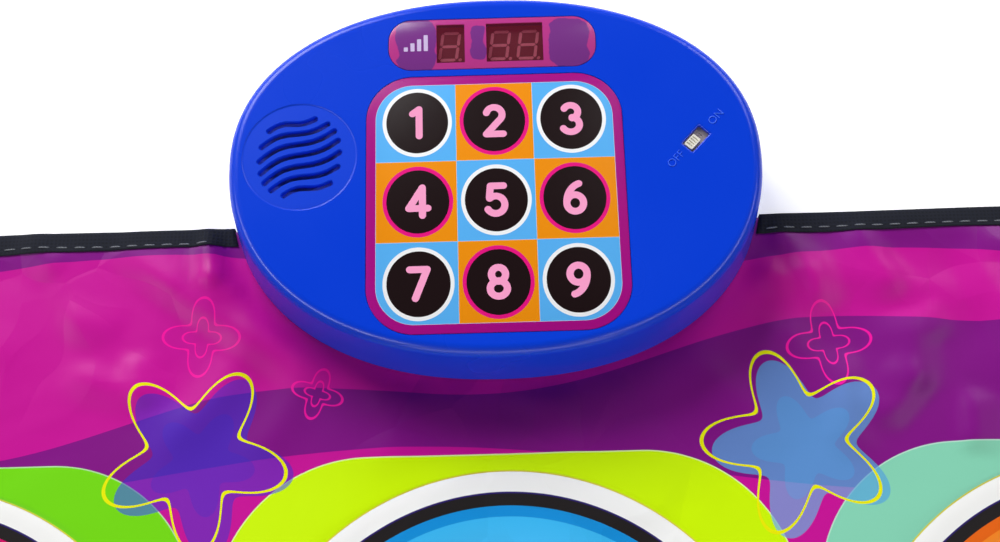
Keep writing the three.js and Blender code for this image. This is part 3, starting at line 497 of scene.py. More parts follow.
# Pink four-lobed sparkles in double line on the open ground: x, y, size and turn, and then
# the scale and half width of each of their two lines.
SPARKLES = [(-128, 352, 12.5, 0.3), (-78, 326, 8.0, 1.2), (140, 342, 13.5, -0.5),
            (262, 352, 8.5, 0.8), (-250, 356, 8.5, 2.0), (-395, 180, 11.0, 0.4),
            (398, 60, 11.0, 1.0), (-398, -300, 11.0, 0.2), (395, -260, 11.0, 2.2),
            (0, -458, 10.0, 0.6)]
SPARKLE_LINES = [(1.0, 0.6), (0.5, 0.5)]
SPARKLE_DEPTH = 0.36
for sparkle_x, sparkle_y, size, phase in SPARKLES:
    offset = plan_offset(add, place, (sparkle_x, sparkle_y))
    for scale, half_line in SPARKLE_LINES:
        lobes = lobed_distance(add, offset, size * scale, SPARKLE_DEPTH, 4.0, phase)
        ground = print_ink(add, ground, linear("#FF12A8"), line_distance(add, lobes, half_line))

# Tiles, each with a thin pale edge.
tile_ink = add("ValToRGB", pad_share, stops=TILE_COLOURS)
pale_edge = add("Mix", 0.4, tile_ink, linear("#FFFFFF"), data_type="RGBA")
printed = print_ink(add, ground, pale_edge, rounded_distance(
    add, from_pad, TILE_HALF, TILE_HALF, TILE_CORNER))
printed = print_ink(add, printed, tile_ink, rounded_distance(
    add, from_pad, TILE_HALF - TILE_EDGE, TILE_HALF - TILE_EDGE, TILE_CORNER - TILE_EDGE))

# Five-lobed blots of see-through ink where four tiles meet, each with a yellow outline that
# is printed out of step with it.
BLOT_RADIUS = 30.0
BLOT_DEPTH = 0.30
BLOT_SPREAD = 1.024
BLOT_DROP = 4.0
# Each blot's two layers: scale, and how much each hides.
BLOT_LAYERS = [(1.0, 0.66), (0.58, 0.35)]
OUTLINE_SHIFT = (3.4, -2.6)
OUTLINE_TURN = 0.25
OUTLINE_DEPTH = 0.32
OUTLINE_HALF_LINE = 0.8
corner = add("VectorMath", add("VectorMath", from_middle, (pad_pitch, pad_pitch, 1),
                               operation="SNAP"), (pad_pitch / 2, pad_pitch / 2, 0),
             operation="ADD")
spread = add("VectorMath", corner, (BLOT_SPREAD, 1, 0), operation="MULTIPLY")
blot_middle = add("VectorMath", spread, (0, BLOT_DROP, 0), operation="SUBTRACT")
from_blot = add("VectorMath", from_middle, blot_middle, operation="SUBTRACT")
blot_phase = add("VectorMath", corner, (2.1 / pad_pitch, 1.3 / pad_pitch, 0),
                 operation="DOT_PRODUCT")
corner_sum = add("VectorMath", corner, (0.5 / pad_pitch, 0.5 / pad_pitch, 0),
                 operation="DOT_PRODUCT")
every_other = add("Math", add("Math", corner_sum, operation="FRACT"), 0.25,
                  operation="GREATER_THAN")
blot_ink = add("Mix", every_other, linear("#4FA6E6"), linear("#3B2CC4"), data_type="RGBA")
for scale, cover in BLOT_LAYERS:
    blot = lobed_distance(add, from_blot, BLOT_RADIUS * scale, BLOT_DEPTH, 5.0, blot_phase)
    printed = print_ink(add, printed, blot_ink, blot, cover=cover)
outline_offset = add("VectorMath", from_blot, (*OUTLINE_SHIFT, 0), operation="ADD")
outline_phase = add("Math", blot_phase, OUTLINE_TURN, operation="ADD")
outline = lobed_distance(add, outline_offset, BLOT_RADIUS, OUTLINE_DEPTH, 5.0, outline_phase)
printed = print_ink(add, printed, linear("#F4F400"),
                    line_distance(add, outline, OUTLINE_HALF_LINE))

# Rings round each pad, from the outside in, and a paler glow in the middle.
for radius, ink in [
        (WHITE_RING + YELLOW_RIM, linear("#E8E23C")), (WHITE_RING, linear("#FDFDFB")),
        (BLACK_RING + INDIGO_RIM, linear("#2B1C70")), (BLACK_RING, linear("#242021")),
        (FIELD, add("ValToRGB", pad_share, stops=FIELD_RIMS)),
        (FIELD_INNER, add("ValToRGB", pad_share, stops=FIELD_COLOURS))]:
    ring = add("Math", pad_distance, radius, operation="SUBTRACT")
    printed = print_ink(add, printed, ink, ring)
glow = add("MapRange", pad_distance, GLOW_INNER, FIELD_INNER, 0.24, 0.0)
printed = add("Mix", glow, printed, linear("#BFF2FF"), data_type="RGBA")

# The face's relief: soft creases, handling facets in some areas only, and an embossed grain,
# drawn coarser than the real one so that it shows; spans in mm.
CREASE_SPAN = 110
FACET_SPAN = 46
FACET_WAVER = 60
FACET_SHIFT = 34
HANDLED_SPAN = 180
GRAIN_SPAN = 2.4
soft_creases = add("TexNoise", place, 1 / CREASE_SPAN, 3.0, 0.45, named={"Distortion": 0.8})
waver = add("TexNoise", place, 1 / FACET_WAVER, 2.0)
shifted = add("VectorMath", waver.outputs["Color"], (FACET_SHIFT, FACET_SHIFT, 0), place,
              operation="MULTIPLY_ADD")
facets = add("TexVoronoi", shifted, 1 / FACET_SPAN, named={"Randomness": 1.0},
             feature="DISTANCE_TO_EDGE")
handled = add("MapRange", add("TexNoise", place, 1 / HANDLED_SPAN, 1.0), 0.42, 0.62)
crumples = add("Math", facets, handled, operation="MULTIPLY")
grain = add("TexNoise", place, 1 / GRAIN_SPAN, 2.0)
bump = add("Bump", 0.6, 4 * MM, named={"Height": soft_creases})
bump = add("Bump", 0.6, 9 * MM, named={"Height": crumples, "Normal": bump})
bump = add("Bump", 0.05, 0.4 * MM, named={"Height": grain, "Normal": bump})
add("OutputMaterial", add("BsdfPrincipled", named={
    "Base Color": printed, "Roughness": add("MapRange", soft_creases, 0.3, 0.7, 0.32, 0.44),
    "Normal": bump, "IOR": 1.53, "Specular IOR Level": 0.13}))

top_sheet = build("printed_top_sheet", sheet_points, sheet_faces, print_material)
sheet_mesh = bmesh.new()
sheet_mesh.from_mesh(top_sheet.data)
bmesh.ops.remove_doubles(sheet_mesh, verts=sheet_mesh.verts, dist=0.02 * MM)
sheet_mesh.to_mesh(top_sheet.data)
sheet_mesh.free()


def give_thickness(piece):
    """The sheet's thickness, built down from its face, with its cut edge kept crisp."""
    wall = piece.modifiers.new("thickness", "SOLIDIFY")
    wall.thickness = sheet_thickness * MM
    wall.offset = -1.0
    piece.modifiers.new("crisp", "WEIGHTED_NORMAL")


give_thickness(top_sheet)
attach(top_sheet, "mat")
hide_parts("top_sheet")

PAD_RINGS = 22


def pad_face(centre):
    """A pad's face: points on rings in the same directions as the cell round it, evenly
    spaced from the rim to the centre, with the sheet's own rise; quads between the rings
    and a fan round the centre."""
    around = 4 * SIDE_STEPS
    circle = cell_patch((0.0, 0.0), pad_radius, 1)[0][:around]
    share = np.linspace(1.0, 0.0, PAD_RINGS + 1)[:-1, None, None]
    flat = np.concatenate([(share * circle).reshape(-1, 2), [[0.0, 0.0]]]) + np.array(centre)
    points = np.column_stack([flat, sheet_top + sheet_rise(flat[:, 0], flat[:, 1])]) * MM
    steps = np.arange(around)
    last = (PAD_RINGS - 1) * around
    fan = np.stack([last + steps, last + (steps + 1) % around,
                    np.full(around, PAD_RINGS * around)], 1)
    return points, grid_faces(PAD_RINGS, around, wrap=True).tolist() + fan.tolist()


for number, centre in enumerate(pad_centres, 1):
    pad = build(f"printed_step_pad_{number}", *pad_face(centre), print_material)
    give_thickness(pad)
    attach(pad, f"pad_{number}")
    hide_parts(f"step_pad_{number}")

# Edge binding
# A navy woven polyester tape folded over the mat's edge and sewn through with grey thread.
# It stops where the console clamps the sheet.
STITCH_PITCH = 7.7
STITCH_LENGTH = 5.0
STITCH_INSET = 7.3
STITCH_NIP = 0.10
THREAD_RADIUS = 0.34
THREAD_SIDES = 6
BINDING_CORNER = 40.8
BINDING_STEP = 2.4
binding_high = box_mm("edge_binding")[1]
binding_half = binding_high[0]
# The tape ends this far inside the console's widest reach, a gap away from its wall, and
# bends to the wall's line over the last stretch.
console_stop = console_half_width - 3.1
CONSOLE_GAP = 0.8
END_STRETCH = 30.0


def turned(points, angle):
    """Points in plan turned anticlockwise about the origin."""
    spin = np.array([[math.cos(angle), math.sin(angle)], [-math.sin(angle), math.cos(angle)]])
    return points @ spin


def edge_path(half, corner, spacing):
    """A C-shaped run round the mat: a rounded square of the given half size, walked
    clockwise from the console's right side to its left; gives points and outward normals."""
    straight = half - corner
    sides = []
    for turn_count, (start, end) in enumerate([
            (console_stop, straight), (-straight, straight), (-straight, straight),
            (-straight, straight), (-straight, -console_stop)]):
        steps = max(int(round((end - start) / spacing)), 1)
        run = np.linspace(start, end, steps + 1)
        points = np.stack([run, np.full_like(run, half)], 1)
        normals = np.tile([0.0, 1.0], (len(run), 1))
        if turn_count < 4:
            arc_steps = max(int(corner * math.pi / 2 / spacing), 8)
            around = np.linspace(0, math.pi / 2, arc_steps + 1)[1:-1]
            arc_normals = np.stack([np.sin(around), np.cos(around)], 1)
            points = np.concatenate([points, straight + corner * arc_normals])
            normals = np.concatenate([normals, arc_normals])
        sides.append([turned(part, -math.pi / 2 * turn_count) for part in (points, normals)])
    points = np.concatenate([side[0] for side in sides])
    normals = np.concatenate([side[1] for side in sides])
    return points + np.array([0.0, mat_middle_y]), normals


# A wave texture at scale 1 repeats every tenth of pi.
WAVE_REPEAT = math.pi / 10

# Woven polyester tape: matt navy, with a fine square weave of 1.7 mm, twice as coarse as the
# real one so that it shows, and a little sheen at its bends; the raised threads are painted a
# paler navy as a painted highlight.
TAPE_THREAD = 1.7
FADE_SPAN = 17
binding_material, add = new_material("woven_polyester_tape")
place = place_in_mm(add)
warp, weft = (add("TexWave", place, WAVE_REPEAT / TAPE_THREAD, 0.6, 1.0, bands_direction=across)
              for across in ("X", "Y"))
weave = add("Math", warp, weft, operation="MAXIMUM")
fade = add("Math", add("TexNoise", place, 1 / FADE_SPAN, 3.0), 0.6, operation="MULTIPLY")
tape = add("Mix", fade, linear("#080A14"), linear("#161A29"), data_type="RGBA")
# Painted highlight: the weave's raised threads are mixed toward a paler navy.
painted_thread_highlight = add("Math", weave, 0.3, operation="MULTIPLY")
tape = add("Mix", painted_thread_highlight, tape, linear("#23283A"), data_type="RGBA")
bump = add("Bump", 0.4, 0.3 * MM, named={"Height": weave})
add("OutputMaterial", add("BsdfPrincipled", named={
    "Base Color": tape, "Roughness": 0.82, "Normal": bump, "Specular IOR Level": 0.2,
    "Sheen Weight": 0.04, "Sheen Roughness": 0.4}))

# The folded tape's section: how far inwards and how high each point lies, in mm, and the
# level of its upper face.
TAPE_TOP = 5.02
TAPE_SECTION = np.array([
    (9.0, 0.0), (5.0, 0.0), (1.4, 0.02), (0.5, 0.2), (0.12, 0.7), (0.0, 1.5), (0.0, 3.5),
    (0.12, 4.3), (0.5, 4.8), (1.4, TAPE_TOP), (4.0, 5.12), (6.4, TAPE_TOP), (8.4, 5.1), (9.0, 5.0),
    (9.0, 4.46), (5.0, 4.46), (1.2, 4.46), (0.78, 4.2), (0.78, 0.9), (1.2, 0.56),
    (5.0, 0.58), (9.0, 0.58)])
path_points, path_normals = edge_path(binding_half, BINDING_CORNER, BINDING_STEP)
step_length = np.linalg.norm(np.diff(path_points, axis=0), axis=1)
travel = np.concatenate([[0.0], np.cumsum(step_length)])
# The tape stands off the sheet's edge by up to 1.4 mm, as hand-fed tape does.
stand_off = 0.7 + 0.4 * np.sin(travel / 47) + 0.3 * np.sin(travel / 19 + 2.0)
path_points = path_points + stand_off[:, None] * path_normals


def binding_points():
    """The folded tape: the section's first value is taken inwards along the path's normal
    and its second is height, lifted with the sheet's rise and nipped in at each stitch; the
    inner edge wanders, and the ends follow the console's outline."""
    inward = TAPE_SECTION[None, :, 0:1]
    flat = path_points[:, None, :] - inward * path_normals[:, None, :]
    wander = 0.5 * np.sin(travel / 61) + 0.4 * np.sin(travel / 23 + 1.0)
    inner = TAPE_SECTION[None, :, 0] > STITCH_INSET
    flat = flat - (wander[:, None] * inner)[..., None] * path_normals[:, None, :]
    ahead = (console_widest_y - flat[..., 1]) / CONSOLE_FRONT_REACH
    narrowing = (1.0 - np.clip(ahead, 0, 1) ** CONSOLE_EXPONENT) ** (1 / CONSOLE_EXPONENT)
    stop = console_half_width * narrowing + CONSOLE_GAP
    near_end = 1.0 - smoothstep(0.0, END_STRETCH, np.abs(flat[..., 0]) - console_stop)
    on_back_side = flat[..., 1] > binding_high[1] - BINDING_CORNER / 2
    push = (stop - console_stop) * near_end * on_back_side
    flat[..., 0] += np.sign(flat[..., 0]) * push
    share = np.clip(TAPE_SECTION[None, :, 1] / binding_high[2], 0, 1)
    nip = STITCH_NIP * np.cos(2 * np.pi * travel[:, None] / STITCH_PITCH)
    near_stitch = np.exp(-((TAPE_SECTION[None, :, 0] - STITCH_INSET) / 2.0) ** 2) * (share > 0.95)
    rise = sheet_rise(flat[..., 0], flat[..., 1])
    height = TAPE_SECTION[None, :, 1] + rise * share + nip * near_stitch
    return np.concatenate([flat, height[..., None]], axis=2).reshape(-1, 3) * MM


columns = len(TAPE_SECTION)
last_row = (len(path_points) - 1) * columns
binding_faces = grid_faces(len(path_points), columns, wrap=True)[:, ::-1].tolist()
binding_faces += [list(range(columns)), list(range(last_row, last_row + columns))[::-1]]
binding = build("sewn_edge_binding", binding_points(), binding_faces, binding_material)
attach(binding, "mat")
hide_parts("edge_binding")

# Spun polyester thread: soft grey, with slanting bands along its 0.6 mm twist painted darker
# as painted shade between the plies.
THREAD_TWIST = 0.6
thread_material, add = new_material("spun_polyester_thread")
place = place_in_mm(add)
# Painted shade: diagonal bands of a darker grey where the twisted plies meet.
painted_twist_shade = add("TexWave", place, WAVE_REPEAT / THREAD_TWIST, 1.0, bands_direction="DIAGONAL")
add("OutputMaterial", add("BsdfPrincipled", named={
    "Base Color": add("Mix", painted_twist_shade, linear("#565A63"), linear("#7E838B"), data_type="RGBA"),
    "Roughness": 0.7}))


def stitch_row():
    """Short threads lying along the tape: each is a row of six-sided rings whose radius
    follows sqrt(1 - 0.92 * u ** 4), with u from -1 to 1 along it, sunk by 0.3 * u ** 4 mm
    where it enters the tape."""
    count = int(travel[-1] / STITCH_PITCH) - 1
    u = np.linspace(-1, 1, 7)
    at = (np.arange(count)[:, None] + 0.9) * STITCH_PITCH + STITCH_LENGTH / 2 * u[None, :]
    place = np.stack([np.interp(at, travel, path_points[:, k]) for k in (0, 1)], -1)
    normal = np.stack([np.interp(at, travel, path_normals[:, k]) for k in (0, 1)], -1)
    normal /= np.linalg.norm(normal, axis=-1, keepdims=True)
    place = place - STITCH_INSET * normal
    height = TAPE_TOP + sheet_rise(place[..., 0], place[..., 1]) + 0.22 - 0.3 * u[None, :] ** 4
    radius = THREAD_RADIUS * np.sqrt(1 - 0.92 * u ** 4)
    angle = np.arange(THREAD_SIDES) * math.pi / 3
    ring_xy = (place[:, :, None, :] + (radius[:, None] * np.cos(angle))[None, :, :, None]
               * normal[:, :, None, :])
    ring_z = height[:, :, None] + (radius[:, None] * np.sin(angle))[None]
    points = np.concatenate([ring_xy, ring_z[..., None]], -1).reshape(-1, 3) * MM
    corners = np.arange(THREAD_SIDES)
    base = (np.arange(count) * len(u) * THREAD_SIDES)[:, None]
    sides = grid_faces(len(u), THREAD_SIDES, wrap=True)[None, :, ::-1] + base[..., None]
    near_caps = base + corners
    far_caps = base + (len(u) - 1) * THREAD_SIDES + corners[::-1]
    return points, sides.reshape(-1, 4).tolist() + near_caps.tolist() + far_caps.tolist()


stitches = build("binding_stitches", *stitch_row(), thread_material)
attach(stitches, "mat")

# Bottom sheet, foam and contact films
# Under the print: a polyester film with carbon contacts, a black foam spacer with a round
# hole under each pad, a second film, and a dimpled PVC sheet that grips the floor.


def soften_edges(piece, edge, limit=50):
    """Rounds a moulding's edges sharper than a limit in degrees over a width in mm, and
    keeps its flats flat."""
    piece.data.polygons.foreach_set("use_smooth", np.ones(len(piece.data.polygons), bool))
    soften = piece.modifiers.new("edge", "BEVEL")
    soften.width = edge * MM
    soften.segments = 2
    soften.limit_method = "ANGLE"
    soften.angle_limit = math.radians(limit)
    soften.harden_normals = True
    even = piece.modifiers.new("flats", "WEIGHTED_NORMAL")
    even.keep_sharp = True


def finished_copy(name, source, material, edge):
    """A CAD node's shape as a piece of its own, its loose triangles merged, its flats made
    whole and its edges softened."""
    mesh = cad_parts[source].data.copy()
    mesh.name = name
    work = bmesh.new()
    work.from_mesh(mesh)
    bmesh.ops.remove_doubles(work, verts=work.verts, dist=0.001 * MM)
    bmesh.ops.dissolve_limit(work, angle_limit=math.radians(1), verts=work.verts,
                             edges=work.edges)
    work.to_mesh(mesh)
    work.free()
    piece = new_piece(name, mesh, material)
    soften_edges(piece, edge, 40)
    return piece


def surface(name, colour, second, roughness, grain, depth, **extra):
    """A material for one finish: two close tones mottled over 24 grains, and a relief with
    the grain's size and depth in mm."""
    material, add = new_material(name)
    place = place_in_mm(add)
    relief = add("TexNoise", place, 1 / grain, 3.0, 0.6)
    broad = add("TexNoise", place, 1 / (24 * grain), 2.0)
    tone = add("Mix", broad, linear(colour), linear(second), data_type="RGBA")
    worn = add("MapRange", broad, 0.3, 0.7, roughness - 0.04, roughness + 0.05)
    bump = add("Bump", 0.5, depth * MM, named={"Height": relief})
    add("OutputMaterial", add("BsdfPrincipled", named={
        "Base Color": tone, "Roughness": worn, "Normal": bump, **extra}))
    return material


# Calendered PVC: matt charcoal with a regular grid of raised dots 3 mm apart, whose tops are
# painted paler as a painted highlight.
GRIP_DOT_PITCH = 3.0
grip_material, add = new_material("dimpled_non_slip_pvc")
place = place_in_mm(add)
dots = add("TexVoronoi", place, 1 / GRIP_DOT_PITCH, named={"Randomness": 0.0})
dot_height = add("MapRange", dots, 0.15, 0.4, 1.0, 0.0)
# Painted highlight: the dots' raised tops are mixed toward a paler charcoal.
grip_tone = add("Mix", dot_height, linear("#26272B"), linear("#3B3C42"), data_type="RGBA")
bump = add("Bump", 0.7, 0.4 * MM, named={"Height": dot_height})
add("OutputMaterial", add("BsdfPrincipled", named={
    "Base Color": grip_tone, "Roughness": 0.62, "Normal": bump}))
bottom_sheet = finished_copy("dimpled_bottom_sheet", "bottom_sheet", grip_material, edge=0.15)
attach(bottom_sheet, "mat")
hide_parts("bottom_sheet")

# Closed-cell polyethylene foam: dull charcoal with cells under a millimetre across.
foam_material = surface("closed_cell_foam", "#36363A", "#424247", 0.9, 0.7, 0.2)
foam_sheet = finished_copy("foam_spacer_sheet", "foam_spacer", foam_material, edge=0.3)
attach(foam_sheet, "mat")
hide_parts("foam_spacer")

# Clear polyester film: milky and smooth where carbon ink is printed on its back.
film_material = surface("printed_polyester_film", "#CFD2D6", "#DFE1E4", 0.3, 3.3, 0.01)

# Console shell
# The upper of two injection-moulded ABS halves in royal blue: a drafted wall, a rounded
# shoulder, bosses and posts inside, and seats for the panel, the window and the speaker.
EDGE_RADIUS = 5.0
DRAFT = 3.0
WALL = 2.2
GAP = 0.3
FRONT_RIM = 4.7
BOSS_RADIUS = 4.0
BOSS_FOOT = 3.6
BOSS_BORE = 1.7
BOSS_BORE_TOP = 14.9
POST_RADIUS = 2.8
POST_PLACE = (50.5, 40.0)
PEG_RADIUS = 1.6
PEG_LENGTH = 2.8
OUTLINE_STEPS = 240
# How far a cutting shape reaches past the face that it opens, in mm.
PAST = 1.0
console_top = console_high[2]
base_lift = console_low[2]
ceiling = console_top - WALL


def oval(inset, angles):
    """The console's plan, drawn in by inset: x = a * sgn(cos t) * |cos t| ** (2 / n) and
    y = b * sgn(sin t) * |sin t| ** (2 / n), with b longer in front than behind."""
    cosine, sine = np.cos(angles), np.sin(angles)
    reach = np.where(sine > 0, CONSOLE_BACK_REACH, CONSOLE_FRONT_REACH) - inset
    power = 2 / CONSOLE_EXPONENT
    return np.stack([(console_half_width - inset) * np.sign(cosine) * np.abs(cosine) ** power,
                     console_widest_y + reach * np.sign(sine) * np.abs(sine) ** power], 1)


def even_angles(steps):
    """Angles at which the console's outline is walked in even steps."""
    fine_angles = np.linspace(0, 2 * np.pi, 4001)
    walk = np.concatenate([[0], np.cumsum(np.linalg.norm(
        np.diff(oval(0.0, fine_angles), axis=0), axis=1))])
    return np.interp(np.linspace(0, walk[-1], steps + 1)[:-1], walk, fine_angles)


outline_angles = even_angles(OUTLINE_STEPS)


def closed_stack(outlines, heights):
    """A closed solid from outlines with the same number of points at rising heights."""
    rows, columns = len(outlines), len(outlines[0])
    levels = np.repeat(np.asarray(heights, float), columns)
    points = np.column_stack([np.concatenate(outlines), levels]) * MM
    last = (rows - 1) * columns
    faces = grid_faces(rows, columns, wrap=True).tolist()
    faces += [list(range(columns))[::-1], list(range(last, last + columns))]
    return points, faces


def shell_solid(name, inset, radius, bottom, steps):
    """The console's outside, drawn in by inset: a drafted wall that turns through a quarter
    circle to a flat top."""
    turn_angles = np.linspace(0, np.pi / 2, steps)
    shoulder = console_top - EDGE_RADIUS
    insets = np.concatenate([[inset, inset + DRAFT * 0.5],
                             inset + DRAFT + radius * (1 - np.cos(turn_angles))])
    heights = np.concatenate([[bottom, (base_lift + shoulder) / 2],
                              shoulder + radius * np.sin(turn_angles)])
    return build(name, *closed_stack([oval(i, outline_angles) for i in insets], heights))


def rounded_plan(half_x, half_y, radius, centre, corner_steps=14, angle=0.0):
    """A rectangle with round corners, walked anticlockwise, turned about its own centre."""
    quarter_circle = np.linspace(0, np.pi / 2, corner_steps)
    corners = []
    for quarter, (sign_x, sign_y) in enumerate([(1, 1), (-1, 1), (-1, -1), (1, -1)]):
        around = quarter_circle + quarter * np.pi / 2
        corners.append(np.stack([sign_x * (half_x - radius) + radius * np.cos(around),
                                 sign_y * (half_y - radius) + radius * np.sin(around)], 1))
    return turned(np.concatenate(corners), angle) + np.array(centre)


def round_plan(radius, centre, steps):
    """A circle, or an ellipse if radius is a pair, walked anticlockwise."""
    around = np.linspace(0, 2 * np.pi, steps + 1)[:-1]
    return np.stack([np.cos(around), np.sin(around)], 1) * radius + np.array(centre)


def prisms(name, plans, material=None):
    """Several upright prisms as one mesh, each a plan with its lowest and highest level, and
    a second plan for its top if its sides are drafted."""
    points, faces, count = [], [], 0
    for plan, low, high, *drafted in plans:
        prism_points, prism_faces = closed_stack([plan, *(drafted or [plan])], [low, high])
        points.append(prism_points)
        faces += [[i + count for i in face] for face in prism_faces]
        count += len(prism_points)
    return build(name, np.concatenate(points), faces, material)


def carve(piece, tool, operation):
    """Joins a helper to a piece or cuts it out, and deletes the helper."""
    change = piece.modifiers.new("carve", "BOOLEAN")
    change.operation = operation
    change.object = tool
    change.solver = "EXACT"
    graph = bpy.context.evaluated_depsgraph_get()
    mesh = bpy.data.meshes.new_from_object(piece.evaluated_get(graph))
    piece.modifiers.clear()
    old = piece.data
    piece.data = mesh
    bpy.data.meshes.remove(old)
    bpy.data.objects.remove(tool)


def middle_of(name):
    """The middle of a CAD node's plan, in mm."""
    return box_mm(name)[:, :2].mean(axis=0)


panel_low, panel_high = box_mm("number_panel")
panel_centre = middle_of("number_panel")
panel_half = (panel_high - panel_low)[:2] / 2
PANEL_CORNER = 20.0
number_centres = [middle_of(f"indicator_led_{number}") for number in range(1, 10)]
number_pitch = (number_centres[8][0] - number_centres[7][0],
                number_centres[0][1] - number_centres[3][1])
LAMP_OPENING = (12.0, 12.9)
window_low, window_high = box_mm("display_window")
window_centre = middle_of("display_window")
window_half = (window_high - window_low)[:2] / 2
WINDOW_CORNER = 10.0
WINDOW_LEDGE = (3.2, 1.6)
speaker_centre = middle_of("speaker_cone")
SPEAKER_SEAT = 20.3
SPEAKER_SEAT_DEPTH = 9.0
SPEAKER_RING_WALL = 1.6
SPEAKER_RING_HEIGHT = 5.0
GRILLE_RADIUS = 18.8
GRILLE_LEAN = math.radians(12.9)
SLOT_PITCH = 5.06
SLOT_WIDTHS = (1.3, 3.9)
SLOT_ROWS = range(-3, 4)
SLOT_MARGIN = 1.05
SLOT_LEAN = 23.8
SLOT_LEAN_LOSS = 1.02
DISH_RADIUS = 24.4
switch_centre = middle_of("switch_housing")
SWITCH_ANGLE = math.radians(46)
SWITCH_SLOT_HALF = (5.75, 3.0)
SWITCH_CHAMFER_WIDTH = 1.6
SWITCH_CHAMFER_DEPTH = 0.7
screw_centres = [middle_of(f"case_screw_{number}") for number in range(1, 5)]
board_top = box_mm("circuit_board")[1][2]
post_centres = [(side * POST_PLACE[0], panel_centre[1] + end * POST_PLACE[1])
                for side in (-1, 1) for end in (-1, 1)]


def band_plan(line, width):
    """The outline of a drawn line of a given width with round ends."""
    run = np.gradient(line, axis=0)
    run /= np.linalg.norm(run, axis=1, keepdims=True)
    side = np.stack([-run[:, 1], run[:, 0]], 1) * width / 2
    cap = np.linspace(-np.pi / 2, np.pi / 2, 11)[1:-1, None]

    def round_end(point, ahead):
        """Half a circle round a line's end."""
        across = np.array([-ahead[1], ahead[0]])
        return point + width / 2 * (np.cos(cap) * ahead + np.sin(cap) * across)

    return np.concatenate([line - side, round_end(line[-1], run[-1]),
                           (line + side)[::-1], round_end(line[0], -run[0])])


def sound_slot(row, width):
    """One S-shaped sound slot, counted from the grille's middle: as long as the round grille
    is there, with wave = size * (1.6 sin 2 pi s + 0.9 sin pi s) across a run that leans
    less in each row away from the middle."""
    drop = row * SLOT_PITCH
    half_length = math.sqrt(GRILLE_RADIUS ** 2 - drop ** 2)
    angle = math.radians(SLOT_LEAN - SLOT_LEAN_LOSS * row ** 2)
    s = np.linspace(0, 1, 33)
    along = (2 * s - 1) * (half_length - SLOT_MARGIN)
    wave = half_length / GRILLE_RADIUS * (1.6 * np.sin(2 * np.pi * s) + 0.9 * np.sin(np.pi * s))
    middle = speaker_centre + drop * np.array([math.sin(GRILLE_LEAN), -math.cos(GRILLE_LEAN)])
    return turned(band_plan(np.stack([along, wave], 1), width), angle) + middle


# Moulded ABS, coloured right through: a clean royal blue with a satin gloss and a grain too
# fine to see but for its soft highlights; the speaker's dish is spark-eroded and rougher,
# and painted a paler blue as a painted haze.
FLOW_SPAN = 70
MOULD_GRAIN_SPAN = 0.7
shell_plastic, add = new_material("moulded_blue_abs")
place = place_in_mm(add)
flow = add("TexNoise", place, 1 / FLOW_SPAN, 2.0)
grain = add("TexNoise", place, 1 / MOULD_GRAIN_SPAN, 2.0)
from_speaker = add("VectorMath", plan_offset(add, place, speaker_centre), operation="LENGTH")
in_dish = add("MapRange", from_speaker, DISH_RADIUS + 0.3, DISH_RADIUS - 0.3)
blue = add("Mix", flow, linear("#003CDA"), linear("#0041E0"), data_type="RGBA")
# Painted haze: the dish is mixed toward a paler blue, on top of its real rougher finish.
blue = add("Mix", add("Math", in_dish, 0.3, operation="MULTIPLY"), blue, linear("#1648DC"),
           data_type="RGBA")
satin = add("MapRange", flow, 0.3, 0.7, 0.22, 0.28)
satin = add("Math", in_dish, 0.06, satin, operation="MULTIPLY_ADD")
bump = add("Bump", 0.12, 0.1 * MM, named={"Height": grain})
add("OutputMaterial", add("BsdfPrincipled", named={
    "Base Color": blue, "Roughness": satin, "Normal": bump, "IOR": 1.5,
    "Specular IOR Level": 0.24}))

shell = shell_solid("console_top_shell", 0.0, EDGE_RADIUS, base_lift, 12)
shell.data.materials.append(shell_plastic)
carve(shell, shell_solid("hollow", WALL, EDGE_RADIUS - WALL, base_lift - WALL, 8), "DIFFERENCE")
# The front wall stops above the mat, over a block larger than the console.
BLOCK_HALF = 200
mat_block = rounded_plan(BLOCK_HALF, BLOCK_HALF, 1, (0, binding_high[1] + GAP - BLOCK_HALF))
carve(shell, prisms("mat_gap", [(mat_block, -FRONT_RIM, FRONT_RIM)]), "DIFFERENCE")
# Screw bosses and board posts hang from the roof, and the posts end in pegs.
mid_roof = console_top - WALL / 2
stands = [(round_plan(BOSS_RADIUS, centre, 32), BOSS_FOOT, mid_roof) for centre in screw_centres]
stands += [(round_plan(POST_RADIUS, centre, 24), board_top, mid_roof) for centre in post_centres]
pegs = [(round_plan(PEG_RADIUS, centre, 20), board_top - PEG_LENGTH, mid_roof)
        for centre in post_centres]
carve(shell, prisms("stands", stands), "UNION")
carve(shell, prisms("pegs", pegs), "UNION")
carve(shell, prisms("speaker_ring", [
    (round_plan(SPEAKER_SEAT + SPEAKER_RING_WALL, speaker_centre, 72),
     ceiling - SPEAKER_RING_HEIGHT, mid_roof)]), "UNION")
carve(shell, prisms("speaker_seat", [
    (round_plan(SPEAKER_SEAT, speaker_centre, 72), ceiling - SPEAKER_SEAT_DEPTH,
     ceiling)]), "DIFFERENCE")
carve(shell, prisms("seats", [
    (rounded_plan(*(panel_half + GAP), PANEL_CORNER + GAP, panel_centre, 20),
     panel_low[2], console_top + PAST),
    (rounded_plan(*(window_half + GAP), WINDOW_CORNER + GAP, window_centre, 16),
     window_low[2], console_top + PAST)]), "DIFFERENCE")
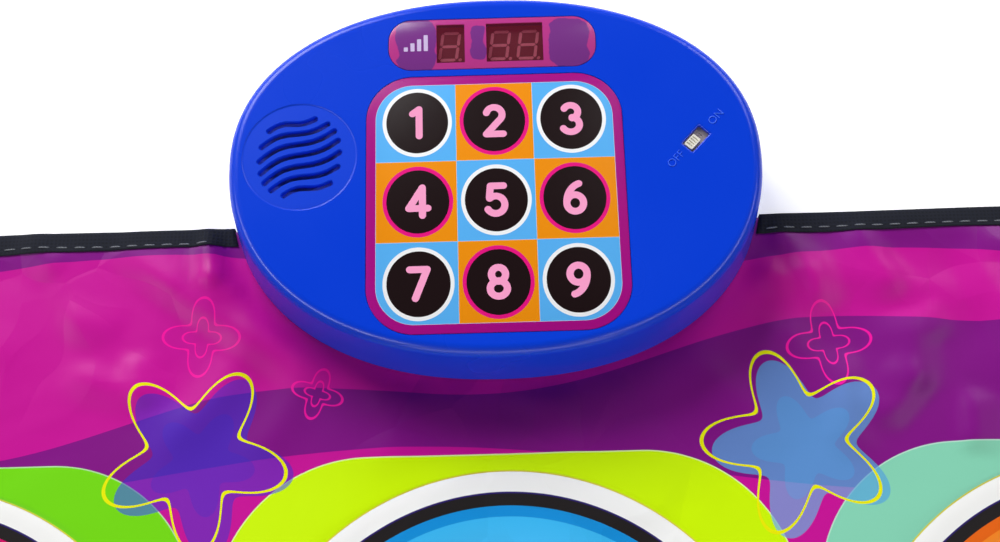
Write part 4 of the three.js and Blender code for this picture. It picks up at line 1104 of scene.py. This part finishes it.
# The speaker's dish, as radii and levels from the top face.
dish_levels = [(DISH_RADIUS - 0.7, -0.4), (DISH_RADIUS - 0.3, -0.36), (DISH_RADIUS, -0.2),
               (DISH_RADIUS + 0.3, 0.1)]
dish = closed_stack([round_plan(radius, speaker_centre, 128) for radius, _ in dish_levels],
                    [console_top + level for _, level in dish_levels])
carve(shell, build("speaker_dish", *dish), "DIFFERENCE")
slot_mouth = rounded_plan(*np.add(SWITCH_SLOT_HALF, SWITCH_CHAMFER_WIDTH), 1.0, switch_centre, 5,
                          SWITCH_ANGLE)
carve(shell, prisms("switch_bevel", [
    (rounded_plan(*SWITCH_SLOT_HALF, 0.3, switch_centre, 5, SWITCH_ANGLE),
     console_top - SWITCH_CHAMFER_DEPTH, console_top + 0.6, slot_mouth)]), "DIFFERENCE")
through = [(round_plan(LAMP_OPENING, centre, 48), board_top, console_top + PAST)
           for centre in number_centres]
through += [(rounded_plan(*(window_half - WINDOW_LEDGE), WINDOW_CORNER - WINDOW_LEDGE[1],
                          window_centre, 10), board_top, console_top + PAST),
            (rounded_plan(*SWITCH_SLOT_HALF, 0.5, switch_centre, 5, SWITCH_ANGLE),
             ceiling - WALL, console_top + PAST)]
through += [(round_plan(BOSS_BORE, centre, 20), 0.0, BOSS_BORE_TOP) for centre in screw_centres]
through += [(sound_slot(row, SLOT_WIDTHS[0]), ceiling - 0.2, console_top + PAST,
             sound_slot(row, SLOT_WIDTHS[1])) for row in SLOT_ROWS]
carve(shell, prisms("openings", through), "DIFFERENCE")
soften_edges(shell, edge=0.18)
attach(shell, "mat")
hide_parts("top_shell")

# Number panel
# A reverse-printed polycarbonate label: a purple border round nine squares in sky blue and
# orange, each with a black lamp window in a ring and a pink numeral.
LABEL_EDGE = 0.06
LABEL_FIELD_HALF = (50.5, 53.4)
LABEL_FIELD_CORNER = 16.0
FIELD_EDGE = 0.15
HAIRLINE_HALF = 0.1
RING_RADII = (14.8, 15.85)
LAMP_RADII = (13.2, 14.15)


def oval_distance(add, offset, radius_x, radius_y):
    """About how far a point lies outside an ellipse: (length(offset / radii) - 1) * the first
    radius."""
    level = add("VectorMath", add("VectorMath", offset, (radius_x, radius_y, 1),
                                  operation="DIVIDE"), operation="LENGTH")
    return add("Math", level, radius_x, -radius_x, operation="MULTIPLY_ADD")


# Polycarbonate film printed on its back: deep clean colours behind a smooth clear face, with
# the pale hairlines of unprinted film where two inks just miss each other.
FILM_WAVE_SPAN = 33
panel_material, add = new_material("reverse_printed_polycarbonate")
place = place_in_mm(add)
from_panel = plan_offset(add, place, panel_centre)
cell = nearest_cell(add, from_panel, *number_pitch)
from_cell = add("VectorMath", from_panel, cell, operation="SUBTRACT")
steps_off = add("VectorMath", add("VectorMath", cell, operation="ABSOLUTE"),
                (1 / number_pitch[0], -1 / number_pitch[1], 0), operation="DOT_PRODUCT")
odd = add("Math", steps_off, operation="ABSOLUTE")
cells = add("Mix", odd, linear("#5AB4F8"), linear("#F2920E"), data_type="RGBA")
past_middle = add("VectorMath", add("VectorMath", from_panel, operation="ABSOLUTE"),
                  (number_pitch[0] / 2, number_pitch[1] / 2, 0), operation="SUBTRACT")
past_x, past_y, _ = add("SeparateXYZ", past_middle).outputs
hairline = add("Math", line_distance(add, past_x, HAIRLINE_HALF),
               line_distance(add, past_y, HAIRLINE_HALF), operation="MINIMUM")
cells = print_ink(add, cells, linear("#CFE0F0"), hairline, LABEL_EDGE, 0.7)
field = rounded_distance(add, from_panel, *LABEL_FIELD_HALF, LABEL_FIELD_CORNER)
field_rim = rounded_distance(add, from_panel, *np.add(LABEL_FIELD_HALF, FIELD_EDGE),
                             LABEL_FIELD_CORNER + FIELD_EDGE)
label = print_ink(add, linear("#A80C84"), linear("#CFD8F4"), field_rim, LABEL_EDGE)
label = print_ink(add, label, cells, field, LABEL_EDGE)
rings = add("Mix", odd, linear("#F8F9FC"), linear("#EC1684"), data_type="RGBA")
label = print_ink(add, label, rings, oval_distance(add, from_cell, *RING_RADII), LABEL_EDGE)
label = print_ink(add, label, linear("#1E1113"), oval_distance(add, from_cell, *LAMP_RADII),
                  LABEL_EDGE)
film_wave = add("TexNoise", place, 1 / FILM_WAVE_SPAN, 1.0)
bump = add("Bump", 0.1, 0.5 * MM, named={"Height": film_wave})
add("OutputMaterial", add("BsdfPrincipled", named={
    "Base Color": label, "Roughness": 0.28, "Normal": bump, "IOR": 1.58,
    "Specular IOR Level": 0.1}))


def label_solid(name, half, corner, centre, low, top, material):
    """A thin plate with round corners and a small softened upper edge."""
    plans = [rounded_plan(*(half - inset), corner - inset, centre, 24)
             for inset in (0.0, 0.0, 0.04, 0.15)]
    piece = build(name, *closed_stack(plans, [low, top - 0.15, top - 0.04, top]), material)
    piece.data.set_sharp_from_angle(angle=math.radians(40))
    return piece


panel = label_solid("number_label", panel_half, PANEL_CORNER, panel_centre, panel_low[2],
                    panel_high[2], panel_material)
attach(panel, "mat")
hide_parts("number_panel")


def arc(centre_x, centre_y, radius_x, radius_y, start, end):
    """Points along part of an ellipse, from one angle to another in degrees."""
    around = np.radians(np.linspace(start, end, 25))
    return np.stack([centre_x + radius_x * np.cos(around),
                     centre_y + radius_y * np.sin(around)], 1)


def straight(*points):
    """A straight stroke between each pair of neighbouring points."""
    return [np.linspace(first, second, 5) for first, second in zip(points, points[1:])]


# Round-ended strokes for each numeral, in mm from its middle.
six = [arc(0, -2.5, 3.5, 3.7, 0, 180), arc(0, -2.5, 3.5, 3.7, 180, 360),
       arc(3.4, -2.5, 6.9, 8.9, 180, 103)]
NUMERALS = [
    straight((-2.0, 4.1), (0.8, 6.2), (0.8, -6.2)),
    [arc(0, 2.8, 3.4, 3.4, 165, -38)] + straight((2.68, 0.71), (-3.5, -6.2), (3.7, -6.2)),
    [arc(-0.2, 3.15, 3.1, 3.05, 150, -80), arc(-0.3, -2.8, 3.7, 3.4, 80, -150)],
    straight((1.9, -6.2), (1.9, 6.2), (-3.8, -3.0), (4.2, -3.0)),
    straight((3.1, 6.2), (-2.4, 6.2), (-2.9, 0.9)) + [arc(-0.3, -2.3, 3.8, 3.9, 132, -150)],
    six,
    straight((-3.6, 6.2), (3.6, 6.2), (-1.3, -6.2)),
    [arc(0, 3.2, 2.9, 3.0, 0, 180), arc(0, 3.2, 2.9, 3.0, 180, 360),
     arc(0, -2.9, 3.5, 3.3, 0, 180), arc(0, -2.9, 3.5, 3.3, 180, 360)],
    [-stroke for stroke in six],
]
NUMERAL_STROKE = 3.0
INK_SUNK = 0.03
INK_RAISED = 0.05


def flat_faces(piece):
    """Shades each face of a piece by itself."""
    piece.data.polygons.foreach_set("use_smooth", np.zeros(len(piece.data.polygons), bool))


def printed_numeral(name, strokes, centre, scale, width, level, material):
    """A numeral of round-ended strokes joined into one thin layer of ink on a level."""
    parts = [prisms(name, [(band_plan(scale * stroke + np.array(centre), width),
                            level - INK_SUNK, level + INK_RAISED)], material)
             for stroke in strokes]
    for part in parts[1:]:
        carve(parts[0], part, "UNION")
    flat_faces(parts[0])
    return parts[0]


# Screen ink: a flat, slightly raised pink with a satin gloss.
pink_ink = surface("pink_screen_ink", "#FF9ACB", "#FFA6D2", 0.42, 1.1, 0.01)
for number, (centre, strokes) in enumerate(zip(number_centres, NUMERALS), 1):
    digit = printed_numeral(f"label_digit_{number}", strokes, centre, 1.0, NUMERAL_STROKE,
                            console_top, pink_ink)
    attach(digit, "mat")

# Vinyl ink: the same numerals 92 mm tall on the pads, white and as glossy as the sheet.
PAD_NUMERAL_SCALE = 6.2
PAD_NUMERAL_STROKE = 15.5
white_ink = surface("white_vinyl_ink", "#F4F4F1", "#FBFBF9", 0.36, 16.0, 0.1)
for number, (centre, strokes) in enumerate(zip(pad_centres, NUMERALS), 1):
    numeral = printed_numeral(f"pad_numeral_{number}", strokes, centre, PAD_NUMERAL_SCALE,
                              PAD_NUMERAL_STROKE, sheet_top, white_ink)
    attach(numeral, f"pad_{number}")

# Display
# A tinted window over three seven-segment lamps: printed magenta with purple masks, and
# clear over the two lamp modules.
MASK_RAGGED = 4.6
CLEAR_INSET = 0.05
# Each purple mask: its middle from the window's, its half size, and its corner.
MASKS = [((-33.0, -0.4), (8.6, 12.4), 5.0), ((-6.2, 0.3), (2.9, 8.2), 1.5),
         ((33.4, -0.2), (8.4, 11.8), 5.0)]

# Tinted acrylic, screen printed on its back: a milky magenta with mottled purple patches,
# and see-through dark red over the lamps.
MOTTLE_SPAN = 7.5
window_material, add = new_material("tinted_display_window")
place = place_in_mm(add)
mottle = add("TexNoise", place, 1 / MOTTLE_SPAN, 2.0)
shift = add("Math", mottle, MASK_RAGGED, -MASK_RAGGED / 2, operation="MULTIPLY_ADD")
tint = linear("#BC3A8C")
for middle, half, corner in MASKS:
    offset = plan_offset(add, place, window_centre + middle)
    patch = add("Math", rounded_distance(add, offset, *half, corner), shift, operation="ADD")
    tint = print_ink(add, tint, linear("#7A3489"), patch, 0.2)
clear = None
for module in ("display_single", "display_double"):
    low, high = box_mm(module)
    offset = plan_offset(add, place, middle_of(module))
    half_x, half_y = (high - low)[:2] / 2
    area = rounded_distance(add, offset, half_x - CLEAR_INSET, half_y, 0.2)
    clear = area if clear is None else add("Math", clear, area, operation="MINIMUM")
tint = print_ink(add, tint, linear("#7E1C36"), clear, 0.1)
add("OutputMaterial", add("BsdfPrincipled", named={
    "Base Color": tint, "Roughness": 0.16, "IOR": 1.5, "Specular IOR Level": 0.3,
    "Alpha": add("MapRange", clear, -0.1, 0.1, 0.3, 1.0)}))
window = label_solid("tinted_window", window_half, WINDOW_CORNER, window_centre, window_low[2],
                     window_high[2], window_material)
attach(window, "mat")
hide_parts("display_window")

# Lamp modules: dull dark red epoxy, with unlit segments of cloudy pink epoxy cast in it.
module_face = surface("red_epoxy_module", "#54161F", "#5E1A24", 0.4, 1.7, 0.02)
segment_face = surface("unlit_led_segment", "#F4849C", "#F992A8", 0.35, 1.7, 0.01)
DIGIT_HALF_HEIGHT = 6.5
DIGIT_HALF_WIDTH = 3.7
BAR_HALF_WIDTH = 0.675
BAR_GAP = 0.25
DIGIT_SLANT = 0.14


def digit_segments(centre):
    """Seven hexagonal bars and a point, slanted by x = x + slant * y."""
    half, half_width = DIGIT_HALF_HEIGHT, DIGIT_HALF_WIDTH
    bars = [((0, half), 0), ((0, 0), 0), ((0, -half), 0)]
    bars += [((side * half_width, end * half / 2), 1) for side in (-1, 1) for end in (-1, 1)]
    plans = []
    for (bar_x, bar_y), upright in bars:
        long_half = (half / 2 if upright else half_width) - BAR_GAP
        wide = BAR_HALF_WIDTH
        plan = np.array([(-long_half, 0), (-long_half + wide, -wide), (long_half - wide, -wide),
                         (long_half, 0), (long_half - wide, wide), (-long_half + wide, wide)])
        if upright:
            plan = np.stack([-plan[:, 1], plan[:, 0]], 1)
        plans.append(plan + np.array([bar_x, bar_y]))
    plans.append(round_plan(0.75, (half_width + 1.7, -half), 16))
    return [np.stack([plan[:, 0] + DIGIT_SLANT * plan[:, 1], plan[:, 1]], 1) + np.array(centre)
            for plan in plans]


# Each digit's module, and how far it stands to the right of the module's middle.
DIGITS = [("display_single", -0.5), ("display_double", -6.5), ("display_double", 5.8)]
module_top = box_mm("display_single")[1][2]
bars = []
for module, aside in DIGITS:
    bars += digit_segments(middle_of(module) + (aside, 0))
segments = prisms("display_segments", [(bar, module_top - 0.05, module_top + 0.08)
                                       for bar in bars], segment_face)
flat_faces(segments)
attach(segments, "mat")

# Screen ink: four rising bars in pale lilac beside the first lamp.
lilac_ink = surface("lilac_screen_ink", "#CDB6E4", "#D6C2EA", 0.4, 1.1, 0.01)
ICON_PLACE = window_centre + (-37.6, -2.0)
ICON_PITCH = 2.9
ICON_BAR_HALF = (0.9, 1.0)
ICON_GROWTH = 0.95
rising = prisms("level_bars_icon", [
    (rounded_plan(ICON_BAR_HALF[0], ICON_BAR_HALF[1] + ICON_GROWTH * step, 0.3,
                  ICON_PLACE + (ICON_PITCH * step, ICON_GROWTH * step), 5),
     console_top - 0.02, console_top + 0.04) for step in range(4)], lilac_ink)
flat_faces(rising)
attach(rising, "mat")

# Power switch
# A slide switch under the shell: a plated steel case with a slit, a flange that slides in
# it, and an off-white ribbed knob in a slanted slot. ON and OFF are moulded at its ends.
KNOB_HALF = (3.05, 2.05)
KNOB_HEIGHT = 2.3
GROOVE_HALF = (0.28, 1.55)
GROOVE_DEPTH = 0.7
GROOVE_PLACES = (-1.8, -0.6, 0.6, 1.8)
STEM_HALF = (1.0, 0.7)
CASE_WALL = 0.3
case_low, case_high = box_mm("switch_housing")
CASE_HALF = (9.5, 4.3)
SLIT_HALF = (3.5, 0.9)
FLANGE_HALF = (6.4, 2.6)
FLANGE_BOARD = 0.38
FLANGE_PLAY = 0.02
knob_centre = middle_of("switch_knob")
along_switch = np.array([math.cos(SWITCH_ANGLE), math.sin(SWITCH_ANGLE)])

# Acetal: a warm off-white moulding with a waxy satin face.
knob_plastic = surface("off_white_acetal", "#E4E0D2", "#EDEADF", 0.42, 1.4, 0.02)
# Tin-plated steel: a dull warm grey that mirrors only roughly.
case_steel = surface("tin_plated_switch_case", "#948A90", "#A29A9E", 0.45, 2.5, 0.02,
                     Metallic=0.75)
# Laminated paper board: a brownish grey, quite matt.
flange_board = surface("pressed_paper_board", "#8E8488", "#9A9094", 0.6, 1.2, 0.03)


def slanted_plan(half, corner, corner_steps, centre=switch_centre):
    """A rectangle with round corners that lies along the switch."""
    return rounded_plan(*half, corner, centre, corner_steps, SWITCH_ANGLE)


switch_case = prisms("plated_switch_case", [
    (slanted_plan(CASE_HALF, 0.6, 4), case_low[2], case_high[2])], case_steel)
carve(switch_case, prisms("case_hollow", [
    (slanted_plan(np.subtract(CASE_HALF, CASE_WALL), 0.2, 4), case_low[2] - PAST,
     case_high[2] - CASE_WALL)]), "DIFFERENCE")
carve(switch_case, prisms("slit", [
    (slanted_plan(SLIT_HALF, 0.3, 4), case_high[2] - PAST, case_high[2] + PAST)]), "DIFFERENCE")
soften_edges(switch_case, edge=0.1)
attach(switch_case, "mat")
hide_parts("switch_housing")

flange_top = case_high[2] - CASE_WALL - FLANGE_PLAY
flange = prisms("switch_flange", [
    (slanted_plan(FLANGE_HALF, 0.3, 4, knob_centre), flange_top - FLANGE_BOARD, flange_top)],
    flange_board)
flat_faces(flange)
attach(flange, "power_knob")

knob_top = ceiling + KNOB_HEIGHT
knob = prisms("ribbed_switch_knob", [
    (slanted_plan(KNOB_HALF, 0.6, 5, knob_centre), ceiling, knob_top)], knob_plastic)
carve(knob, prisms("grooves", [
    (slanted_plan(GROOVE_HALF, 0.1, 3, knob_centre + offset * along_switch),
     knob_top - GROOVE_DEPTH, knob_top + PAST) for offset in GROOVE_PLACES]), "DIFFERENCE")
carve(knob, prisms("stem", [
    (slanted_plan(STEM_HALF, 0.1, 3, knob_centre), ceiling - 1.0, ceiling + 1.0)]), "UNION")
soften_edges(knob, edge=0.12)
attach(knob, "power_knob")
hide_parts("switch_knob")


def raised_letters(name, words, size, centre, level, material):
    """Characters raised from the shell, centred on a place and turned along the switch, with
    their underside at a level; sizes in mm."""
    curve = bpy.data.curves.new(name, "FONT")
    curve.body = words
    curve.align_x = "CENTER"
    curve.align_y = "CENTER"
    curve.size = size
    curve.offset = -0.13
    curve.extrude = 0.12
    curve.bevel_depth = 0.05
    curve.bevel_resolution = 2
    curve.resolution_u = 8
    draft = bpy.data.objects.new(name, curve)
    bpy.context.scene.collection.objects.link(draft)
    graph = bpy.context.evaluated_depsgraph_get()
    mesh = bpy.data.meshes.new_from_object(draft.evaluated_get(graph))
    bpy.data.objects.remove(draft)
    points = np.empty(len(mesh.vertices) * 3)
    mesh.vertices.foreach_get("co", points)
    points = points.reshape(-1, 3)
    points[:, :2] -= (points[:, :2].min(axis=0) + points[:, :2].max(axis=0)) / 2
    points[:, :2] = turned(points[:, :2], SWITCH_ANGLE) + centre
    points[:, 2] += level - points[:, 2].min()
    mesh.vertices.foreach_set("co", (points * MM).ravel())
    mesh.update()
    return new_piece(name, mesh, material)


# The same ABS, with the raised letters painted a paler, cleaner blue than the shell as a
# painted highlight on their relief.
letter_highlight_abs = surface("blue_abs_painted_highlight", "#2A66FC", "#3C76FF", 0.34, 1.2, 0.02)
# Each word, and its middle from the switch's.
SWITCH_WORDS = [("OFF", (-9.3, -9.3)), ("ON", (8.9, 9.5))]
LETTER_SIZE = 5.0
for words, aside in SWITCH_WORDS:
    letters = raised_letters(f"relief_{words.lower()}", words, LETTER_SIZE,
                             switch_centre + aside, console_top - 0.05, letter_highlight_abs)
    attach(letters, "mat")

# Base, battery door, screws and feet
# The console's lower ABS half, its hook-hung battery door, the zinc-plated cross-head screws
# that hold them, and four rubber feet pressed into seats.
base = finished_copy("console_base_shell", "base_shell", shell_plastic, edge=0.25)
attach(base, "mat")
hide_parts("base_shell")
door = finished_copy("hooked_battery_door", "battery_door", shell_plastic, edge=0.25)
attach(door, "battery_cover")
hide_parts("battery_door")

# Zinc-plated steel: a bright bluish grey with a fine even grain.
zinc = surface("zinc_plated_screw", "#A3A8AD", "#B7BBBF", 0.3, 2.0, 0.02, Metallic=1.0)
THREAD_PITCH = 1.0
THREAD_DEPTH = 0.22
THREAD_LEVELS = 6
SCREW_SIDES = 24
CASE_SCREW_CORE = 1.15
DOOR_SCREW_CORE = 0.95
HEAD_HEIGHT = 1.0
TIP_HEIGHT = 0.5
CROSS_DEPTH = 0.75
CROSS_REACH = 0.58
CROSS_HALF_WIDTH = 0.2
# The crowned head's profile: shares of its radius, and heights from its face.
HEAD_RINGS = [(0.5, 0.0), (0.84, 0.12), (1.0, 0.4), (1.0, HEAD_HEIGHT)]


def thread_outline(core, height, centre):
    """One level of a screw's shank: r = core + depth * |2 * frac(z / pitch - angle / 2 pi) -
    1|, a ridge that climbs one pitch a turn."""
    around = np.linspace(0, 2 * np.pi, SCREW_SIDES + 1)[:-1]
    phase = (height / THREAD_PITCH - around / (2 * np.pi)) % 1.0
    radius = core + THREAD_DEPTH * np.abs(2 * phase - 1)
    return np.stack([np.cos(around), np.sin(around)], 1) * radius[:, None] + centre


def cross_head_screw(name, source, core, spin):
    """A screw with its head down: a crowned head, a threaded shank and a blunt tip, with a
    cross sunk in its face."""
    low, high = box_mm(source)
    centre = middle_of(source)
    head = (high - low)[0] / 2
    outlines = [round_plan(head * share, centre, SCREW_SIDES) for share, _ in HEAD_RINGS]
    heights = [low[2] + height for _, height in HEAD_RINGS]
    tip = high[2] - TIP_HEIGHT
    climb = np.arange(heights[-1] + 0.02, tip - 0.1, THREAD_PITCH / THREAD_LEVELS)
    outlines += [thread_outline(core, height, centre) for height in climb]
    outlines += [round_plan(core * share, centre, SCREW_SIDES) for share in (1.0, 0.4)]
    heights += [*climb, tip, high[2]]
    screw = build(name, *closed_stack(outlines, heights), zinc)
    for quarter in (0, 1):
        carve(screw, prisms("cross", [
            (rounded_plan(CROSS_REACH * head, CROSS_HALF_WIDTH, 0.1, centre, 3,
                          spin + quarter * math.pi / 2),
             low[2] - PAST, low[2] + CROSS_DEPTH)]), "DIFFERENCE")
    screw.data.set_sharp_from_angle(angle=math.radians(40))
    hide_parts(source)
    return screw


for number in range(1, 5):
    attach(cross_head_screw(f"cross_head_screw_{number}", f"case_screw_{number}",
                             CASE_SCREW_CORE, spin=0.7 * number), "mat")
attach(cross_head_screw("door_cross_head_screw", "door_screw", DOOR_SCREW_CORE, spin=0.4),
        "battery_cover")

# Moulded rubber: dull black, with a crowned rim that rounds to the floor.
rubber = surface("moulded_rubber", "#1B1B1D", "#262628", 0.85, 1.1, 0.06)
for number in range(1, 5):
    low, high = box_mm(f"foot_{number}")
    radius = (high - low)[0] / 2
    foot_rings = [(radius - 0.8, 0.0), (radius - 0.3, 0.12), (radius - 0.06, 0.4),
                  (radius, 0.8), (radius, high[2])]
    foot = build(f"rubber_foot_{number}", *closed_stack(
        [round_plan(ring, middle_of(f"foot_{number}"), 48) for ring, _ in foot_rings],
        [height for _, height in foot_rings]), rubber)
    foot.data.set_sharp_from_angle(angle=math.radians(40))
    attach(foot, "mat")
    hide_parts(f"foot_{number}")

# Cells
# Three AA cells: nickel-plated steel cans in a printed film sleeve that leaves both ends
# bare.
SLEEVE_HALF = 23.2
BAND_PLACE = 15.0
BAND_HALF = 1.2

# Shrunk polypropylene sleeve: glossy slate with a pale band, then bare nickel at the ends.
SLEEVE_TONE_SPAN = 90
cell_material, add = new_material("shrunk_cell_sleeve")
place = place_in_mm(add)
from_cell_middle = add("Math", add("SeparateXYZ", place), operation="ABSOLUTE")
wrap_tone = add("Mix", add("TexNoise", place, 1 / SLEEVE_TONE_SPAN, 2.0),
                linear("#26384A"), linear("#2E4358"), data_type="RGBA")
band = line_distance(add, add("Math", from_cell_middle, BAND_PLACE, operation="SUBTRACT"),
                     BAND_HALF)
wrap_tone = print_ink(add, wrap_tone, linear("#C8D0D6"), band, 0.08)
bare = add("MapRange", from_cell_middle, SLEEVE_HALF - 0.05, SLEEVE_HALF + 0.05)
add("OutputMaterial", add("BsdfPrincipled", named={
    "Base Color": add("Mix", bare, wrap_tone, linear("#C2C5C9"), data_type="RGBA"),
    "Metallic": bare, "Roughness": add("MapRange", bare, 0.0, 1.0, 0.3, 0.24)}))

# Pieces inside the console
# The pieces that keep their own shape: contact films and ribbon, board, lamps, speaker, cells
# with their contacts, and wires, each in the finish of the real one but for the speaker cone,
# whose deep blue is painted shade for the sound slots.

# Phenolic paper board: warm tan and satin.
phenolic = surface("phenolic_board", "#B0803F", "#C09050", 0.5, 2.0, 0.02)
# Polystyrene: bright white, slightly soft in its gloss, so that it throws lamp light about.
white_styrene = surface("white_polystyrene", "#E8E8E2", "#F1F1EC", 0.5, 1.2, 0.02)
# Moulded epoxy: near black and satin.
black_epoxy = surface("black_epoxy", "#131417", "#1C1D21", 0.5, 1.1, 0.02)
# Clear cast epoxy: a water-white lamp lens.
clear_epoxy = surface("clear_epoxy_lamp", "#EEF1F6", "#F7F8FB", 0.12, 5.0, 0.01)
# Pressed and zinc-plated steel: a grey basket with a soft mirror.
speaker_steel = surface("pressed_speaker_steel", "#7B8086", "#90959B", 0.35, 3.3, 0.02,
                        Metallic=0.9)
# Felted paper cone, painted a deep blue as painted shade for the sound slots, which keeps
# them from showing white.
slot_shade_cone = surface("cone_paper_painted_slot_shade", "#1434B4", "#1A3EC4", 0.7, 2.0, 0.08)
# Sintered ferrite: dark, dull and faintly grainy.
ferrite = surface("sintered_ferrite", "#343639", "#42454A", 0.55, 1.4, 0.05)
# Nickel-plated spring steel: bright and warm.
nickel = surface("nickel_plated_spring_steel", "#C2C5C9", "#D2D5D8", 0.22, 2.5, 0.01,
                 Metallic=1.0)
# Extruded PVC: a smooth red wire.
wire_pvc = surface("red_wire_pvc", "#A8221C", "#BC2E26", 0.45, 2.0, 0.02)
node_finishes = {
    "lower_contact_film": film_material, "upper_contact_film": film_material,
    "film_tail": film_material, "display_single": module_face, "display_double": module_face,
    "light_baffle": white_styrene, "tail_connector": white_styrene,
    "circuit_board": phenolic, "main_chip": black_epoxy, "speaker_basket": speaker_steel,
    "speaker_cone": slot_shade_cone, "speaker_magnet": ferrite, "battery_spring_end": nickel,
    "battery_plate_end": nickel, "battery_bridge_1": nickel, "battery_bridge_2": nickel,
    "speaker_wire": wire_pvc, "battery_wire": wire_pvc, "switch_wire": wire_pvc,
    **{f"indicator_led_{number}": clear_epoxy for number in range(1, 10)},
    **{f"battery_{number}": cell_material for number in range(1, 4)},
}
for name, finish in node_finishes.items():
    for material_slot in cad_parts[name].material_slots:
        material_slot.material = finish
